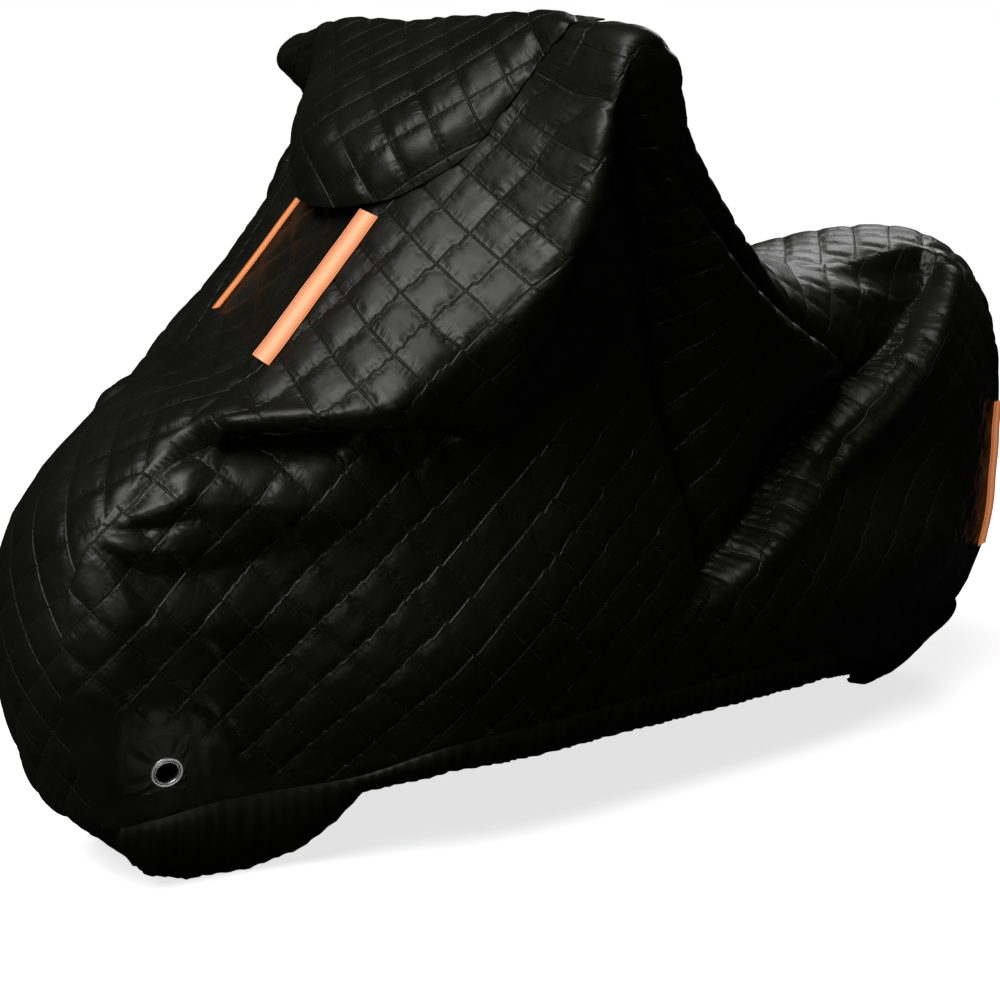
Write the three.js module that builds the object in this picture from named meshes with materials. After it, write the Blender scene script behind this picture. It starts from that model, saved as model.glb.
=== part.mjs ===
// A quilted motorcycle cover, hollow, in the shape in which it hangs over a motorcycle.
// Millimetres, +Z up, the front wheel's end towards -X, the left side towards -Y.
// Each cloth piece is a sheet of points joined by triangles, thickened inwards.
import * as THREE from 'three';

// Driving dimensions
const HALF_DIAMOND = 44.5;   // half the diagonal of one quilted diamond
const PUFF = 4.5;            // how far the middle of a diamond stands out from its stitching
const CLOTH = 3;             // thickness of the padded cloth
const SEAM_GAP = 0.4;        // distance between two pieces along a seam
const CENTRE_CELLS = 6;      // width of the centre panel in half diamonds
const STRIP = { width: 25, thickness: 1.2, steps: 12 };
const STRIP_ROWS = [-0.5, -0.25, 0.01, 0.25, 0.5];
const SEARCH = 60;           // how far the cloth is looked for under what lies on it
const HALVINGS = 40;
const SEAM_STEP = 8;         // how far apart the seam is read to find its direction
const FOLD_STEPS = 24;       // places tried along a fold to find the nearest one
const EDGE_FADE = 0.05;      // share of a fold that is already open at each of its ends
const LEAST_CELL = 0.3;      // a column ends in a cell at least this share of a half diamond
const CURVE_STEPS = 160;     // steps that a section is walked in, and the belly line
const BELLY_STEPS = 2000;
const SEAM_GRAIN = 20;       // points within a twentieth of a millimetre are one seam point
const LEAST_SLANT = 0.6;     // limits of the stretch at a slanting or a sharply bent edge
const LEAST_BEND = 0.5;

// The lock eyelet: its hole, its flanges outside and inside, and the plain patch around it
const EYELET = {
  hole: 16, neck: 17.6, flange: 24, backFlange: 22, shoulder: 21, clearance: 0.3,
  frontHeight: 2.1, frontEdge: 1, backThickness: 1, sides: 24,
};
const PATCH = { hole: 18.6, flat: 26, sides: 16 };

// Sections of a side panel, front to rear. s is the distance behind the front axle and bow
// how far the ends of the section lie behind its middle. Each level gives the half width and
// the height: the hem, the belly, the waist, the outer ridge, the slope above it and the seam.
const SECTIONS = [
  { s: -262, bow: 22, hem: [112, 208], low: [116, 300], waist: [119, 345],
    ridge: [120, 390], crown: [118, 435], seam: [114, 478] },
  { s: -212, bow: 0, hem: [116, 128], low: [150, 300], waist: [158, 370],
    ridge: [155, 440], crown: [142, 495], seam: [122, 535] },
  { s: -140, bow: 0, hem: [134, 124], low: [168, 300], waist: [175, 410],
    ridge: [170, 510], crown: [155, 575], seam: [129, 614] },
  { s: -60, bow: 0, hem: [150, 134], low: [184, 300], waist: [192, 465],
    ridge: [186, 644], crown: [158, 672], seam: [130, 684] },
  { s: 30, bow: 0, hem: [176, 140], low: [210, 300], waist: [212, 490],
    ridge: [246, 682], crown: [195, 718], seam: [132, 741] },
  { s: 140, bow: 0, hem: [235, 155], low: [275, 315], waist: [258, 545],
    ridge: [337, 702], crown: [232, 812], seam: [138, 851] },
  { s: 240, bow: 0, hem: [290, 188], low: [322, 330], waist: [290, 560],
    ridge: [358, 766], crown: [248, 912], seam: [138, 966] },
  { s: 320, bow: 0, hem: [310, 198], low: [342, 350], waist: [312, 600],
    ridge: [394, 836], crown: [268, 1000], seam: [132, 1062] },
  { s: 385, bow: 0, hem: [316, 200], low: [350, 370], waist: [322, 670],
    ridge: [426, 965], crown: [292, 1100], seam: [130, 1146] },
  { s: 440, bow: 0, hem: [318, 201], low: [352, 380], waist: [330, 760],
    ridge: [458, 1160], crown: [305, 1206], seam: [130, 1208] },
  { s: 530, bow: 0, hem: [318, 201], low: [352, 380], waist: [330, 770],
    ridge: [452, 1160], crown: [300, 1204], seam: [130, 1208] },
  { s: 610, bow: 0, hem: [318, 199], low: [350, 370], waist: [322, 720],
    ridge: [402, 1045], crown: [268, 1128], seam: [130, 1174] },
  { s: 760, bow: 0, hem: [318, 197], low: [345, 360], waist: [302, 640],
    ridge: [345, 905], crown: [235, 985], seam: [130, 1025] },
  { s: 900, bow: 0, hem: [316, 193], low: [340, 350], waist: [282, 560],
    ridge: [305, 800], crown: [218, 866], seam: [130, 900] },
  { s: 1050, bow: 0, hem: [306, 182], low: [335, 345], waist: [272, 500],
    ridge: [278, 700], crown: [210, 790], seam: [130, 832] },
  { s: 1200, bow: 0, hem: [265, 156], low: [322, 330], waist: [275, 470],
    ridge: [280, 650], crown: [215, 772], seam: [130, 818] },
  { s: 1350, bow: 0, hem: [196, 124], low: [290, 310], waist: [280, 460],
    ridge: [285, 640], crown: [222, 778], seam: [130, 832] },
  { s: 1460, bow: 0, hem: [168, 136], low: [240, 310], waist: [252, 460],
    ridge: [254, 640], crown: [216, 776], seam: [134, 830] },
  { s: 1545, bow: 0, hem: [160, 156], low: [202, 310], waist: [209, 450],
    ridge: [211, 606], crown: [200, 712], seam: [144, 792] },
  { s: 1592, bow: -6, hem: [156, 188], low: [195, 310], waist: [200, 400],
    ridge: [200, 500], crown: [194, 606], seam: [164, 718] },
];
const LEVELS = ['hem', 'low', 'waist', 'ridge', 'crown', 'seam'];

// The cover hangs a little askew: how far the seam of the right side lies nearer to the middle
// and lower than that of the left side, and how far its crown lies nearer to the middle
const RIGHT_ASKEW = [
  { s: -140, seamIn: 0, seamDown: 0, crownIn: 0 }, { s: -20, seamIn: 20, seamDown: 6, crownIn: 26 },
  { s: 100, seamIn: 30, seamDown: 20, crownIn: 46 }, { s: 275, seamIn: 34, seamDown: 34, crownIn: 34 },
  { s: 400, seamIn: 16, seamDown: 12, crownIn: 16 }, { s: 480, seamIn: 0, seamDown: 0, crownIn: 0 },
];

// Hem columns that belong to the seam of the centre panel, at the front and at the rear
const SEAM_COLUMNS = { front: 2, rear: 1 };

// Folds of each side, seen from the side: a curve through start and end, pulled towards bend.
// height is outwards, negative for a valley, and spread is its half width.
const LEFT_FOLDS = [
  { name: 'crease down from the handlebar end', start: [141, 716], bend: [455, 880],
    end: [434, 1145], height: 12, spread: 36 },
  { name: 'trough below the handlebar end', start: [450, 1110], bend: [690, 800],
    end: [755, 385], height: -62, spread: 50 },
  { name: 'front ridge of the pair behind it', start: [470, 1135], bend: [710, 800],
    end: [1120, 660], height: 20, spread: 36 },
  { name: 'pleat between the pair', start: [590, 1030], bend: [800, 820],
    end: [1130, 674], height: -32, spread: 36 },
  { name: 'valley from the tail', start: [1405, 815], bend: [1120, 600],
    end: [745, 368], height: -66, spread: 48 },
  { name: 'roll from the tail', start: [1440, 828], bend: [1205, 520],
    end: [748, 348], height: 26, spread: 42 },
  { name: 'tuck under the front shelf', start: [-95, 666], bend: [60, 654],
    end: [240, 620], height: -54, spread: 38 },
  { name: 'shoulder below the tuck', start: [-100, 610], bend: [40, 575],
    end: [170, 530], height: 14, spread: 40 },
  { name: 'tuck over the front wheel', start: [-190, 500], bend: [-90, 470],
    end: [20, 500], height: -16, spread: 32 },
  { name: 'puff below the tuck', start: [-180, 430], bend: [-60, 400],
    end: [60, 420], height: 12, spread: 34 },
];
const RIGHT_FOLDS = [
  { name: 'cloth drawn in before the handlebar end', start: [300, 780], bend: [390, 930],
    end: [440, 1100], height: -72, spread: 60 },
  { name: 'trough below the handlebar end', start: [500, 1100], bend: [700, 800],
    end: [730, 400], height: -50, spread: 54 },
  { name: 'ridge behind it', start: [480, 1140], bend: [680, 830],
    end: [1000, 660], height: 18, spread: 38 },
  { name: 'valley behind the ridge', start: [570, 1040], bend: [780, 810],
    end: [1060, 650], height: -26, spread: 38 },
  { name: 'valley from the tail', start: [1400, 810], bend: [1100, 690],
    end: [780, 400], height: -56, spread: 52 },
  { name: 'ridge from the tail', start: [1430, 800], bend: [1240, 550],
    end: [800, 360], height: 22, spread: 44 },
  { name: 'tuck under the front shelf', start: [-60, 640], bend: [80, 630],
    end: [230, 580], height: -36, spread: 40 },
  { name: 'tuck over the front wheel', start: [-180, 470], bend: [-80, 450],
    end: [30, 480], height: -16, spread: 32 },
];

// How far the middle of the centre panel stands out from its two seams, along its length
const CENTRE_RISE = [
  { at: 0.00, rise: 16 }, { at: 0.08, rise: 22 }, { at: 0.15, rise: 22 }, { at: 0.20, rise: 10 },
  { at: 0.26, rise: -5 }, { at: 0.38, rise: -6 }, { at: 0.52, rise: -4 }, { at: 0.62, rise: 8 },
  { at: 0.70, rise: 20 }, { at: 0.76, rise: 24 }, { at: 0.79, rise: 42 }, { at: 0.82, rise: 84 },
  { at: 0.85, rise: 100 }, { at: 0.90, rise: 106 }, { at: 0.94, rise: 100 }, { at: 0.97, rise: 72 },
  { at: 1.00, rise: 26 },
];

// Columns of the hood from its left end to its right end: y, then s and height of its brow and
// of its free lower edge. Its top edge and its front rest on the cloth over the handlebar.
const HOOD_TOP = 505;
const HOOD_FRONT = 440;
const HOOD_LIFT = { top: 11, front: 19, slope: 16 };
const HOOD = [
  { y: -330, brow: [438, 1195], lip: [432, 1186] },
  { y: -285, brow: [408, 1168], lip: [392, 1112] },
  { y: -250, brow: [356, 1108], lip: [333, 1040] },
  { y: -200, brow: [296, 1066], lip: [278, 988] },
  { y: -130, brow: [252, 1052], lip: [222, 964] },
  { y: -60, brow: [234, 1055], lip: [205, 958] },
  { y: 0, brow: [230, 1062], lip: [206, 962] },
  { y: 60, brow: [248, 1074], lip: [226, 976] },
  { y: 120, brow: [284, 1092], lip: [262, 1012] },
  { y: 200, brow: [350, 1130], lip: [334, 1070] },
  { y: 270, brow: [404, 1166], lip: [392, 1122] },
  { y: 325, brow: [438, 1195], lip: [432, 1186] },
];

// Height of the lower edge of the hem band, how far it curls in, and its sag outwards
const BAND = [
  { s: -300, bottom: 84, curl: 30 }, { s: -210, bottom: 58, curl: 40 }, { s: -150, bottom: 24, curl: 48 },
  { s: -80, bottom: 0, curl: 56 }, { s: 0, bottom: 0, curl: 56 }, { s: 60, bottom: 24, curl: 48 },
  { s: 110, bottom: 74, curl: 34 }, { s: 145, bottom: 122, curl: 22 }, { s: 260, bottom: 146, curl: 18 },
  { s: 1050, bottom: 132, curl: 20 }, { s: 1200, bottom: 98, curl: 40 }, { s: 1330, bottom: 30, curl: 86 },
  { s: 1400, bottom: 0, curl: 92 }, { s: 1450, bottom: 10, curl: 80 }, { s: 1520, bottom: 66, curl: 50 },
  { s: 1700, bottom: 172, curl: 24 },
];
const BAND_ROWS = [{ down: 0.4, sag: 5 }, { down: 0.8, sag: 1 }, { down: 1, sag: 0 }];
const BAND_GATHER = 2.4;

// Where the strips start and end along the seam, as heights, how far beside it they lie, on
// the side panel, how much they face the way that the centre panel does, and how far they
// clear the cloth
const STRIPS = [
  { name: 'front_strip_left', side: -1, rear: false, low: 752, high: 946, beside: 0, lean: 0.6, lift: 0.7 },
  { name: 'front_strip_right', side: 1, rear: false, low: 800, high: 956, beside: 0, lean: 0.6, lift: 0.7 },
  { name: 'rear_strip_left', side: -1, rear: true, low: 268, high: 545, beside: 18, lean: 0.2, lift: 1.6 },
  { name: 'rear_strip_right', side: 1, rear: true, low: 268, high: 545, beside: 18, lean: 0.2, lift: 1.6 },
];

// Where the eyelet sits: its column, its row and how far it is moved in the patch
const EYELET_AT = { s: -165, row: -2, along: 15, up: -15 };

const BLACK = new THREE.MeshStandardMaterial({ color: 0x16161a, roughness: 0.42, metalness: 0 });
const BAND_BLACK = new THREE.MeshStandardMaterial({ color: 0x101012, roughness: 0.6, metalness: 0 });
const ORANGE = new THREE.MeshStandardMaterial({ color: 0xff8a3c, roughness: 0.5, metalness: 0 });
const STEEL = new THREE.MeshStandardMaterial({ color: 0xc9ccd0, roughness: 0.25, metalness: 1 });

const group = new THREE.Group();

// Smooth values through rows of numbers at uneven knots
function smoothRows(knots, rows, at) {
  const last = knots.length - 1;
  let k = 0;
  while (k < last - 1 && at >= knots[k + 1]) k += 1;
  const slope = (i, c) => {
    const before = Math.max(0, i - 1);
    const after = Math.min(last, i + 1);
    return (rows[after][c] - rows[before][c]) / (knots[after] - knots[before]);
  };
  const span = knots[k + 1] - knots[k];
  const f = (at - knots[k]) / span;
  return rows[k].map((_, c) => (2 * f ** 3 - 3 * f ** 2 + 1) * rows[k][c]
    + (f ** 3 - 2 * f ** 2 + f) * span * slope(k, c)
    + (3 * f ** 2 - 2 * f ** 3) * rows[k + 1][c]
    + (f ** 3 - f ** 2) * span * slope(k + 1, c));
}

// Straight interpolation in a table of named columns
function lookUp(table, key, at) {
  let k = 0;
  while (k < table.length - 2 && at >= table[k + 1][key]) k += 1;
  const f = THREE.MathUtils.clamp((at - table[k][key]) / (table[k + 1][key] - table[k][key]), 0, 1);
  const between = (name) => THREE.MathUtils.lerp(table[k][name], table[k + 1][name], f);
  return Object.fromEntries(Object.keys(table[k]).map((name) => [name, between(name)]));
}

// A smooth curve through points, walked in small steps, with the length at each step
function denseCurve(points, steps = CURVE_STEPS) {
  const knots = [0];
  for (let k = 1; k < points.length; k += 1) {
    knots.push(knots[k - 1] + Math.hypot(...points[k].map((value, c) => value - points[k - 1][c])));
  }
  const curve = { points: [], length: [], knots: knots.map(() => 0) };
  for (let k = 0; k <= steps; k += 1) {
    const at = knots.at(-1) * k / steps;
    const p = smoothRows(knots, points, at);
    const before = curve.points.at(-1);
    const step = before ? Math.hypot(...p.map((value, c) => value - before[c])) : 0;
    curve.points.push(p);
    curve.length.push((curve.length.at(-1) ?? 0) + step);
    knots.forEach((knot, i) => { if (knot >= at - 1e-9) curve.knots[i] = curve.length.at(-1); });
  }
  return curve;
}

function pointAt(curve, length) {
  let k = 0;
  while (k < curve.length.length - 2 && length >= curve.length[k + 1]) k += 1;
  const span = curve.length[k + 1] - curve.length[k];
  const f = THREE.MathUtils.clamp((length - curve.length[k]) / span, 0, 1);
  return curve.points[k].map((value, c) => THREE.MathUtils.lerp(value, curve.points[k + 1][c], f));
}

// Columns of points, each a curve with a datum where its row 0 lies, become one quilted sheet.
// Every column has a point each half diamond of its length, and its two ends.
function quiltSheet(curves, isOpen = () => false) {
  const sheet = { points: [], odd: [], columns: [], faces: [] };
  curves.forEach(({ curve, datum }, j) => {
    const bottom = -datum;
    const top = curve.length.at(-1) - datum;
    const low = Math.floor(bottom / HALF_DIAMOND + LEAST_CELL);
    const high = Math.ceil(top / HALF_DIAMOND - LEAST_CELL);
    sheet.columns.push({ low, high, first: sheet.points.length });
    for (let i = low; i <= high; i += 1) {
      const v = i === low ? bottom : i === high ? top : i * HALF_DIAMOND;
      sheet.points.push(new THREE.Vector3(...pointAt(curve, v + datum)));
      sheet.odd.push(Math.abs(i + j) % 2 === 1);
    }
  });
  sheet.node = (j, i) => {
    const column = sheet.columns[j];
    return column.first + THREE.MathUtils.clamp(i, column.low, column.high) - column.low;
  };
  for (let j = 0; j < curves.length - 1; j += 1) {
    const [here, next] = [sheet.columns[j], sheet.columns[j + 1]];
    for (let i = Math.min(here.low, next.low); i < Math.max(here.high, next.high); i += 1) {
      if (isOpen(j, i)) continue;
      const [a, b] = [sheet.node(j, i), sheet.node(j + 1, i)];
      const [c, d] = [sheet.node(j + 1, i + 1), sheet.node(j, i + 1)];
      const even = Math.abs(i + j) % 2 === 0;
      const pair = even ? [[a, b, c], [a, c, d]] : [[a, b, d], [b, c, d]];
      sheet.faces.push(...pair.filter((face) => new Set(face).size === 3));
    }
  }
  return sheet;
}

function boundaryEdges(faces) {
  const edges = new Map();
  for (const [a, b, c] of faces) {
    for (const [from, to] of [[a, b], [b, c], [c, a]]) edges.set(`${from} ${to}`, [from, to]);
  }
  return [...edges.values()].filter(([from, to]) => !edges.has(`${to} ${from}`));
}

function faceNormals(points, faces) {
  const normals = points.map(() => new THREE.Vector3());
  for (const [a, b, c] of faces) {
    const n = points[b].clone().sub(points[a]).cross(points[c].clone().sub(points[a]));
    for (const k of [a, b, c]) normals[k].add(n);
  }
  return normals.map((n) => n.normalize());
}

function foldShift(point, folds) {
  let shift = 0;
  for (const { start, bend, end, height, spread } of folds) {
    let best = { distance: Infinity, u: 0 };
    for (let k = 0; k <= FOLD_STEPS; k += 1) {
      const u = k / FOLD_STEPS;
      const along = (c) => (1 - u) ** 2 * start[c] + 2 * u * (1 - u) * bend[c] + u ** 2 * end[c];
      const distance = Math.hypot(point.x - along(0), point.z - along(1));
      if (distance < best.distance) best = { distance, u };
    }
    const fade = Math.sqrt(Math.sin(Math.PI * (EDGE_FADE + (1 - 2 * EDGE_FADE) * best.u)));
    shift += height * fade * Math.exp(-((best.distance / spread) ** 2));
  }
  return shift;
}

// Gives a sheet its folds and its quilting. Its edges stay where they are.
function dressSheet(sheet, folds, outward) {
  let normals = faceNormals(sheet.points, sheet.faces);
  const facing = normals.reduce((sum, n) => sum + n.dot(outward), 0);
  if (facing < 0) sheet.faces = sheet.faces.map(([a, b, c]) => [a, c, b]);
  normals = faceNormals(sheet.points, sheet.faces);
  sheet.edges = boundaryEdges(sheet.faces);
  sheet.onEdge = sheet.points.map(() => false);
  for (const [from] of sheet.edges) sheet.onEdge[from] = true;
  sheet.points.forEach((p, k) => {
    if (!sheet.onEdge[k]) p.addScaledVector(normals[k], foldShift(p, folds));
  });
  sheet.normals = faceNormals(sheet.points, sheet.faces);
  sheet.outer = sheet.points.map((p, k) => {
    const puff = sheet.odd[k] && !sheet.onEdge[k] ? PUFF : 0;
    return p.clone().addScaledVector(sheet.normals[k], puff);
  });
  return sheet;
}

// Pieces that share a seam share one direction there, so that their cut edges stay parallel
const seamKey = (p) => p.toArray().map((value) => Math.round(value * SEAM_GRAIN)).join(' ');

function joinSeams(sheets) {
  const shared = new Map();
  for (const sheet of sheets) {
    sheet.points.forEach((p, k) => {
      if (!sheet.onEdge[k]) return;
      const key = seamKey(p);
      if (!shared.has(key)) shared.set(key, new THREE.Vector3());
      shared.get(key).add(sheet.normals[k]);
    });
  }
  for (const direction of shared.values()) direction.normalize();
  const slants = new Map();
  for (const sheet of sheets) {
    const acrossAt = (p, k) => (sheet.onEdge[k] ? shared.get(seamKey(p)) : sheet.normals[k]);
    sheet.across = sheet.points.map(acrossAt);
    sheet.points.forEach((p, k) => {
      const slant = Math.max(LEAST_SLANT, sheet.across[k].dot(sheet.normals[k]));
      slants.set(seamKey(p), Math.min(slant, slants.get(seamKey(p)) ?? 1));
    });
  }
  for (const sheet of sheets) {
    sheet.slant = sheet.points.map((p, k) => (sheet.onEdge[k] ? slants.get(seamKey(p)) : 1));
  }
}

function geometryOf(points, faces) {
  const geometry = new THREE.BufferGeometry();
  const flat = points.flatMap((p) => [p.x, p.y, p.z]);
  geometry.setAttribute('position', new THREE.Float32BufferAttribute(flat, 3));
  geometry.setIndex(faces.flat());
  geometry.computeVertexNormals();
  return geometry;
}

// The solid of a sheet: its outer face, its inner face and the cut edge between them, with
// the whole outline drawn in by half a seam gap
function thicken(sheet, thickness = CLOTH) {
  const inset = sheet.points.map(() => []);
  for (const [from, to] of sheet.edges) {
    const along = sheet.points[to].clone().sub(sheet.points[from]).normalize();
    inset[from].push(sheet.across[from].clone().cross(along).normalize());
    inset[to].push(sheet.across[to].clone().cross(along).normalize());
  }
  const outer = [];
  const inner = [];
  sheet.points.forEach((p, k) => {
    const shift = new THREE.Vector3();
    if (inset[k].length === 2) {
      const spread = Math.max(LEAST_BEND, 1 + inset[k][0].dot(inset[k][1]));
      shift.add(inset[k][0]).add(inset[k][1]).multiplyScalar(SEAM_GAP / 2 / spread);
    }
    outer.push(sheet.outer[k].clone().add(shift));
    inner.push(p.clone().add(shift).addScaledVector(sheet.across[k], -thickness / sheet.slant[k]));
  });
  const count = outer.length;
  const faces = [...sheet.faces];
  for (const [a, b, c] of sheet.faces) faces.push([a + count, c + count, b + count]);
  for (const [from, to] of sheet.edges) {
    const ahead = seamKey(sheet.points[from]) < seamKey(sheet.points[to]);
    const corner = ahead ? to + count : from + count;
    faces.push([to, from, corner], ahead ? [from, from + count, corner] : [to, corner, to + count]);
  }
  return geometryOf([...outer, ...inner], faces);
}

function addPiece(name, geometry, material) {
  const mesh = new THREE.Mesh(geometry, material);
  mesh.name = name;
  group.add(mesh);
}

// Positions of the side panels' columns, half a diamond apart along the belly
function columnPositions() {
  const belly = denseCurve(SECTIONS.map(({ s, low }) => [s, low[0]]), BELLY_STEPS);
  const length = belly.length.at(-1);
  const count = Math.round(length / HALF_DIAMOND);
  return [...Array(count + 1).keys()].map((j) => pointAt(belly, length * j / count)[0]);
}

function sideCurve(s, side) {
  const knots = SECTIONS.map((row) => row.s);
  const rows = SECTIONS.map((row) => [row.bow, ...LEVELS.flatMap((level) => row[level])]);
  const [bow, ...values] = smoothRows(knots, rows, s);
  const levels = LEVELS.map((_, k) => [values[2 * k], values[2 * k + 1]]);
  if (side > 0) {
    const { seamIn, seamDown, crownIn } = lookUp(RIGHT_ASKEW, 's', s);
    levels[LEVELS.indexOf('seam')][0] -= seamIn;
    levels[LEVELS.indexOf('seam')][1] -= seamDown;
    levels[LEVELS.indexOf('crown')][0] -= crownIn;
  }
  const curve = denseCurve(levels);
  const [bottom, top] = [levels[0][1], levels.at(-1)[1]];
  curve.points = curve.points.map(([width, z]) => {
    const out = (2 * z - bottom - top) / (top - bottom);
    return [s + bow * out * out, side * width, z];
  });
  return { curve, datum: curve.knots[1] };
}

const positions = columnPositions();
const eyeletColumn = positions.findIndex((s) => s >= EYELET_AT.s);

function sidePanel(side, folds) {
  const nearEyelet = (j, i) => j >= eyeletColumn - 1 && j <= eyeletColumn
    && i >= EYELET_AT.row - 1 && i <= EYELET_AT.row;
  const sheet = quiltSheet(positions.map((s) => sideCurve(s, side)), nearEyelet);
  sheet.eyelet = sheet.points[sheet.node(eyeletColumn, EYELET_AT.row)].clone();
  return dressSheet(sheet, folds, new THREE.Vector3(0, side, 0));
}

// The middle node of the eyelet's window isn't part of the panel
function dropUnused(sheet) {
  const used = [...new Set(sheet.faces.flat())].sort((a, b) => a - b);
  const renumber = new Map(used.map((from, to) => [from, to]));
  for (const key of ['points', 'odd', 'onEdge', 'normals', 'outer', 'across', 'slant']) {
    sheet[key] = used.map((k) => sheet[key][k]);
  }
  sheet.faces = sheet.faces.map((face) => face.map((k) => renumber.get(k)));
  sheet.edges = sheet.edges.map((edge) => edge.map((k) => renumber.get(k)));
}

// Nodes of a side panel along the seam to the centre panel, from the front hem to the rear hem
function seamNodes(sheet) {
  const last = sheet.columns.length - 1;
  const [first, end] = [sheet.columns[0], sheet.columns[last]];
  const bottom = (j) => sheet.node(j, sheet.columns[j].low);
  const nodes = [];
  for (let j = SEAM_COLUMNS.front; j > 0; j -= 1) nodes.push(bottom(j));
  for (let i = first.low; i < first.high; i += 1) nodes.push(sheet.node(0, i));
  for (let j = 0; j <= last; j += 1) nodes.push(sheet.node(j, sheet.columns[j].high));
  for (let i = end.high - 1; i >= end.low; i -= 1) nodes.push(sheet.node(last, i));
  for (let j = last - 1; j >= last - SEAM_COLUMNS.rear; j -= 1) nodes.push(bottom(j));
  return nodes.map((k) => sheet.points[k]);
}

function hemNodes(sheet) {
  const nodes = [];
  for (let j = SEAM_COLUMNS.front; j < sheet.columns.length - SEAM_COLUMNS.rear; j += 1) {
    nodes.push(sheet.points[sheet.node(j, sheet.columns[j].low)]);
  }
  return nodes;
}

// The two seams as one smooth path, with the distance of each node of the left one. Its points
// are found by their distance and by their place across, from -1 on the left seam to 1.
function seamPath(leftNodes, rightNodes) {
  const rows = leftNodes.map((p, k) => [...p.toArray(), ...rightNodes[k].toArray()]);
  const path = { knots: [0] };
  for (let k = 1; k < rows.length; k += 1) {
    path.knots.push(path.knots[k - 1] + leftNodes[k].distanceTo(leftNodes[k - 1]));
  }
  path.length = path.knots.at(-1);
  path.at = (t, across) => {
    const both = smoothRows(path.knots, rows, THREE.MathUtils.clamp(t, 0, path.length));
    return new THREE.Vector3(...both).lerp(new THREE.Vector3(...both.slice(3)), (across + 1) / 2);
  };
  path.along = (t, across) => {
    const ahead = path.at(t + SEAM_STEP, across);
    return ahead.sub(path.at(t - SEAM_STEP, across)).normalize();
  };
  path.up = (t, across) => {
    const { x, z } = path.along(t, across);
    return new THREE.Vector3(-z, 0, x).normalize();
  };
  return path;
}

// Triangles between two rows of nodes whose distances along the seam differ
function zipRows(left, leftAt, right, rightAt) {
  const faces = [];
  let [a, b] = [0, 0];
  while (a < left.length - 1 || b < right.length - 1) {
    const advanceLeft = b === right.length - 1
      || (a < left.length - 1 && leftAt[a + 1] <= rightAt[b + 1]);
    if (advanceLeft) {
      faces.push([left[a], right[b], left[a + 1]]);
      a += 1;
    } else {
      faces.push([left[a], right[b], right[b + 1]]);
      b += 1;
    }
  }
  return faces;
}

// The centre panel: even rows of diamonds inside, joined to the seams of the two side panels
function centrePanel(path, leftSeam, rightSeam) {
  const sheet = { points: [], odd: [], faces: [] };
  const rows = Math.round(path.length / HALF_DIAMOND);
  const half = CENTRE_CELLS / 2;
  const inside = [];
  const rowAt = [...Array(rows + 1).keys()].map((r) => path.length * r / rows);
  for (let k = 1 - half; k < half; k += 1) {
    const column = rowAt.map((t, r) => {
      const across = k / half;
      const rise = lookUp(CENTRE_RISE, 'at', t / path.length).rise * (1 - across * across);
      sheet.points.push(path.at(t, across).addScaledVector(path.up(t, across), rise));
      sheet.odd.push(Math.abs(r + k) % 2 === 1);
      return sheet.points.length - 1;
    });
    inside.push(column);
  }
  const addSeam = (nodes) => nodes.map((p) => {
    sheet.points.push(p.clone());
    sheet.odd.push(false);
    return sheet.points.length - 1;
  });
  const [left, right] = [addSeam(leftSeam), addSeam(rightSeam)];
  for (let c = 0; c < inside.length - 1; c += 1) {
    for (let r = 0; r < rows; r += 1) {
      const [a, b, e, d] = [inside[c][r], inside[c + 1][r], inside[c + 1][r + 1], inside[c][r + 1]];
      const pair = sheet.odd[a] ? [[a, b, d], [b, e, d]] : [[a, b, e], [a, e, d]];
      sheet.faces.push(...pair);
    }
  }
  sheet.faces.push(...zipRows(left, path.knots, inside[0], rowAt));
  sheet.faces.push(...zipRows(inside.at(-1), rowAt, right, path.knots));
  sheet.frontHem = inside.map((column) => sheet.points[column[0]]);
  sheet.rearHem = inside.map((column) => sheet.points[column.at(-1)]);
  return dressSheet(sheet, [], new THREE.Vector3(0, 0, 1));
}

// The plain elastic band that closes the lower edge: a loop that curls in under the cloth
function hemBand(loop) {
  const sheet = { points: loop.map((p) => p.clone()), odd: [], faces: [] };
  const count = loop.length;
  for (const { down, sag } of BAND_ROWS) {
    loop.forEach((p, k) => {
      const along = loop[(k + 1) % count].clone().sub(loop[(k + count - 1) % count]).setZ(0).normalize();
      const out = new THREE.Vector3(along.y, 0, 0).setY(-along.x);
      const { bottom, curl } = lookUp(BAND, 's', p.x);
      const gather = k % 2 ? BAND_GATHER : -BAND_GATHER;
      const q = p.clone().addScaledVector(out, sag + gather - curl * down * down);
      q.z = THREE.MathUtils.lerp(p.z, bottom, down);
      sheet.points.push(q);
    });
  }
  sheet.odd = sheet.points.map(() => false);
  for (let row = 0; row < BAND_ROWS.length; row += 1) {
    for (let k = 0; k < count; k += 1) {
      const [a, b] = [row * count + k, row * count + (k + 1) % count];
      sheet.faces.push([a, a + count, b + count], [a, b + count, b]);
    }
  }
  const normals = faceNormals(sheet.points, sheet.faces);
  const middle = loop.reduce((sum, p) => sum.add(p), new THREE.Vector3()).divideScalar(count);
  const outwards = normals.map((n, k) => n.dot(sheet.points[k].clone().sub(middle).setZ(0)));
  const facing = outwards.reduce((sum, value) => sum + value, 0);
  if (facing < 0) sheet.faces = sheet.faces.map(([a, b, c]) => [a, c, b]);
  sheet.edges = boundaryEdges(sheet.faces);
  sheet.onEdge = sheet.points.map(() => false);
  for (const [from] of sheet.edges) sheet.onEdge[from] = true;
  sheet.normals = faceNormals(sheet.points, sheet.faces);
  sheet.outer = sheet.points.map((p) => p.clone());
  return sheet;
}

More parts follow.
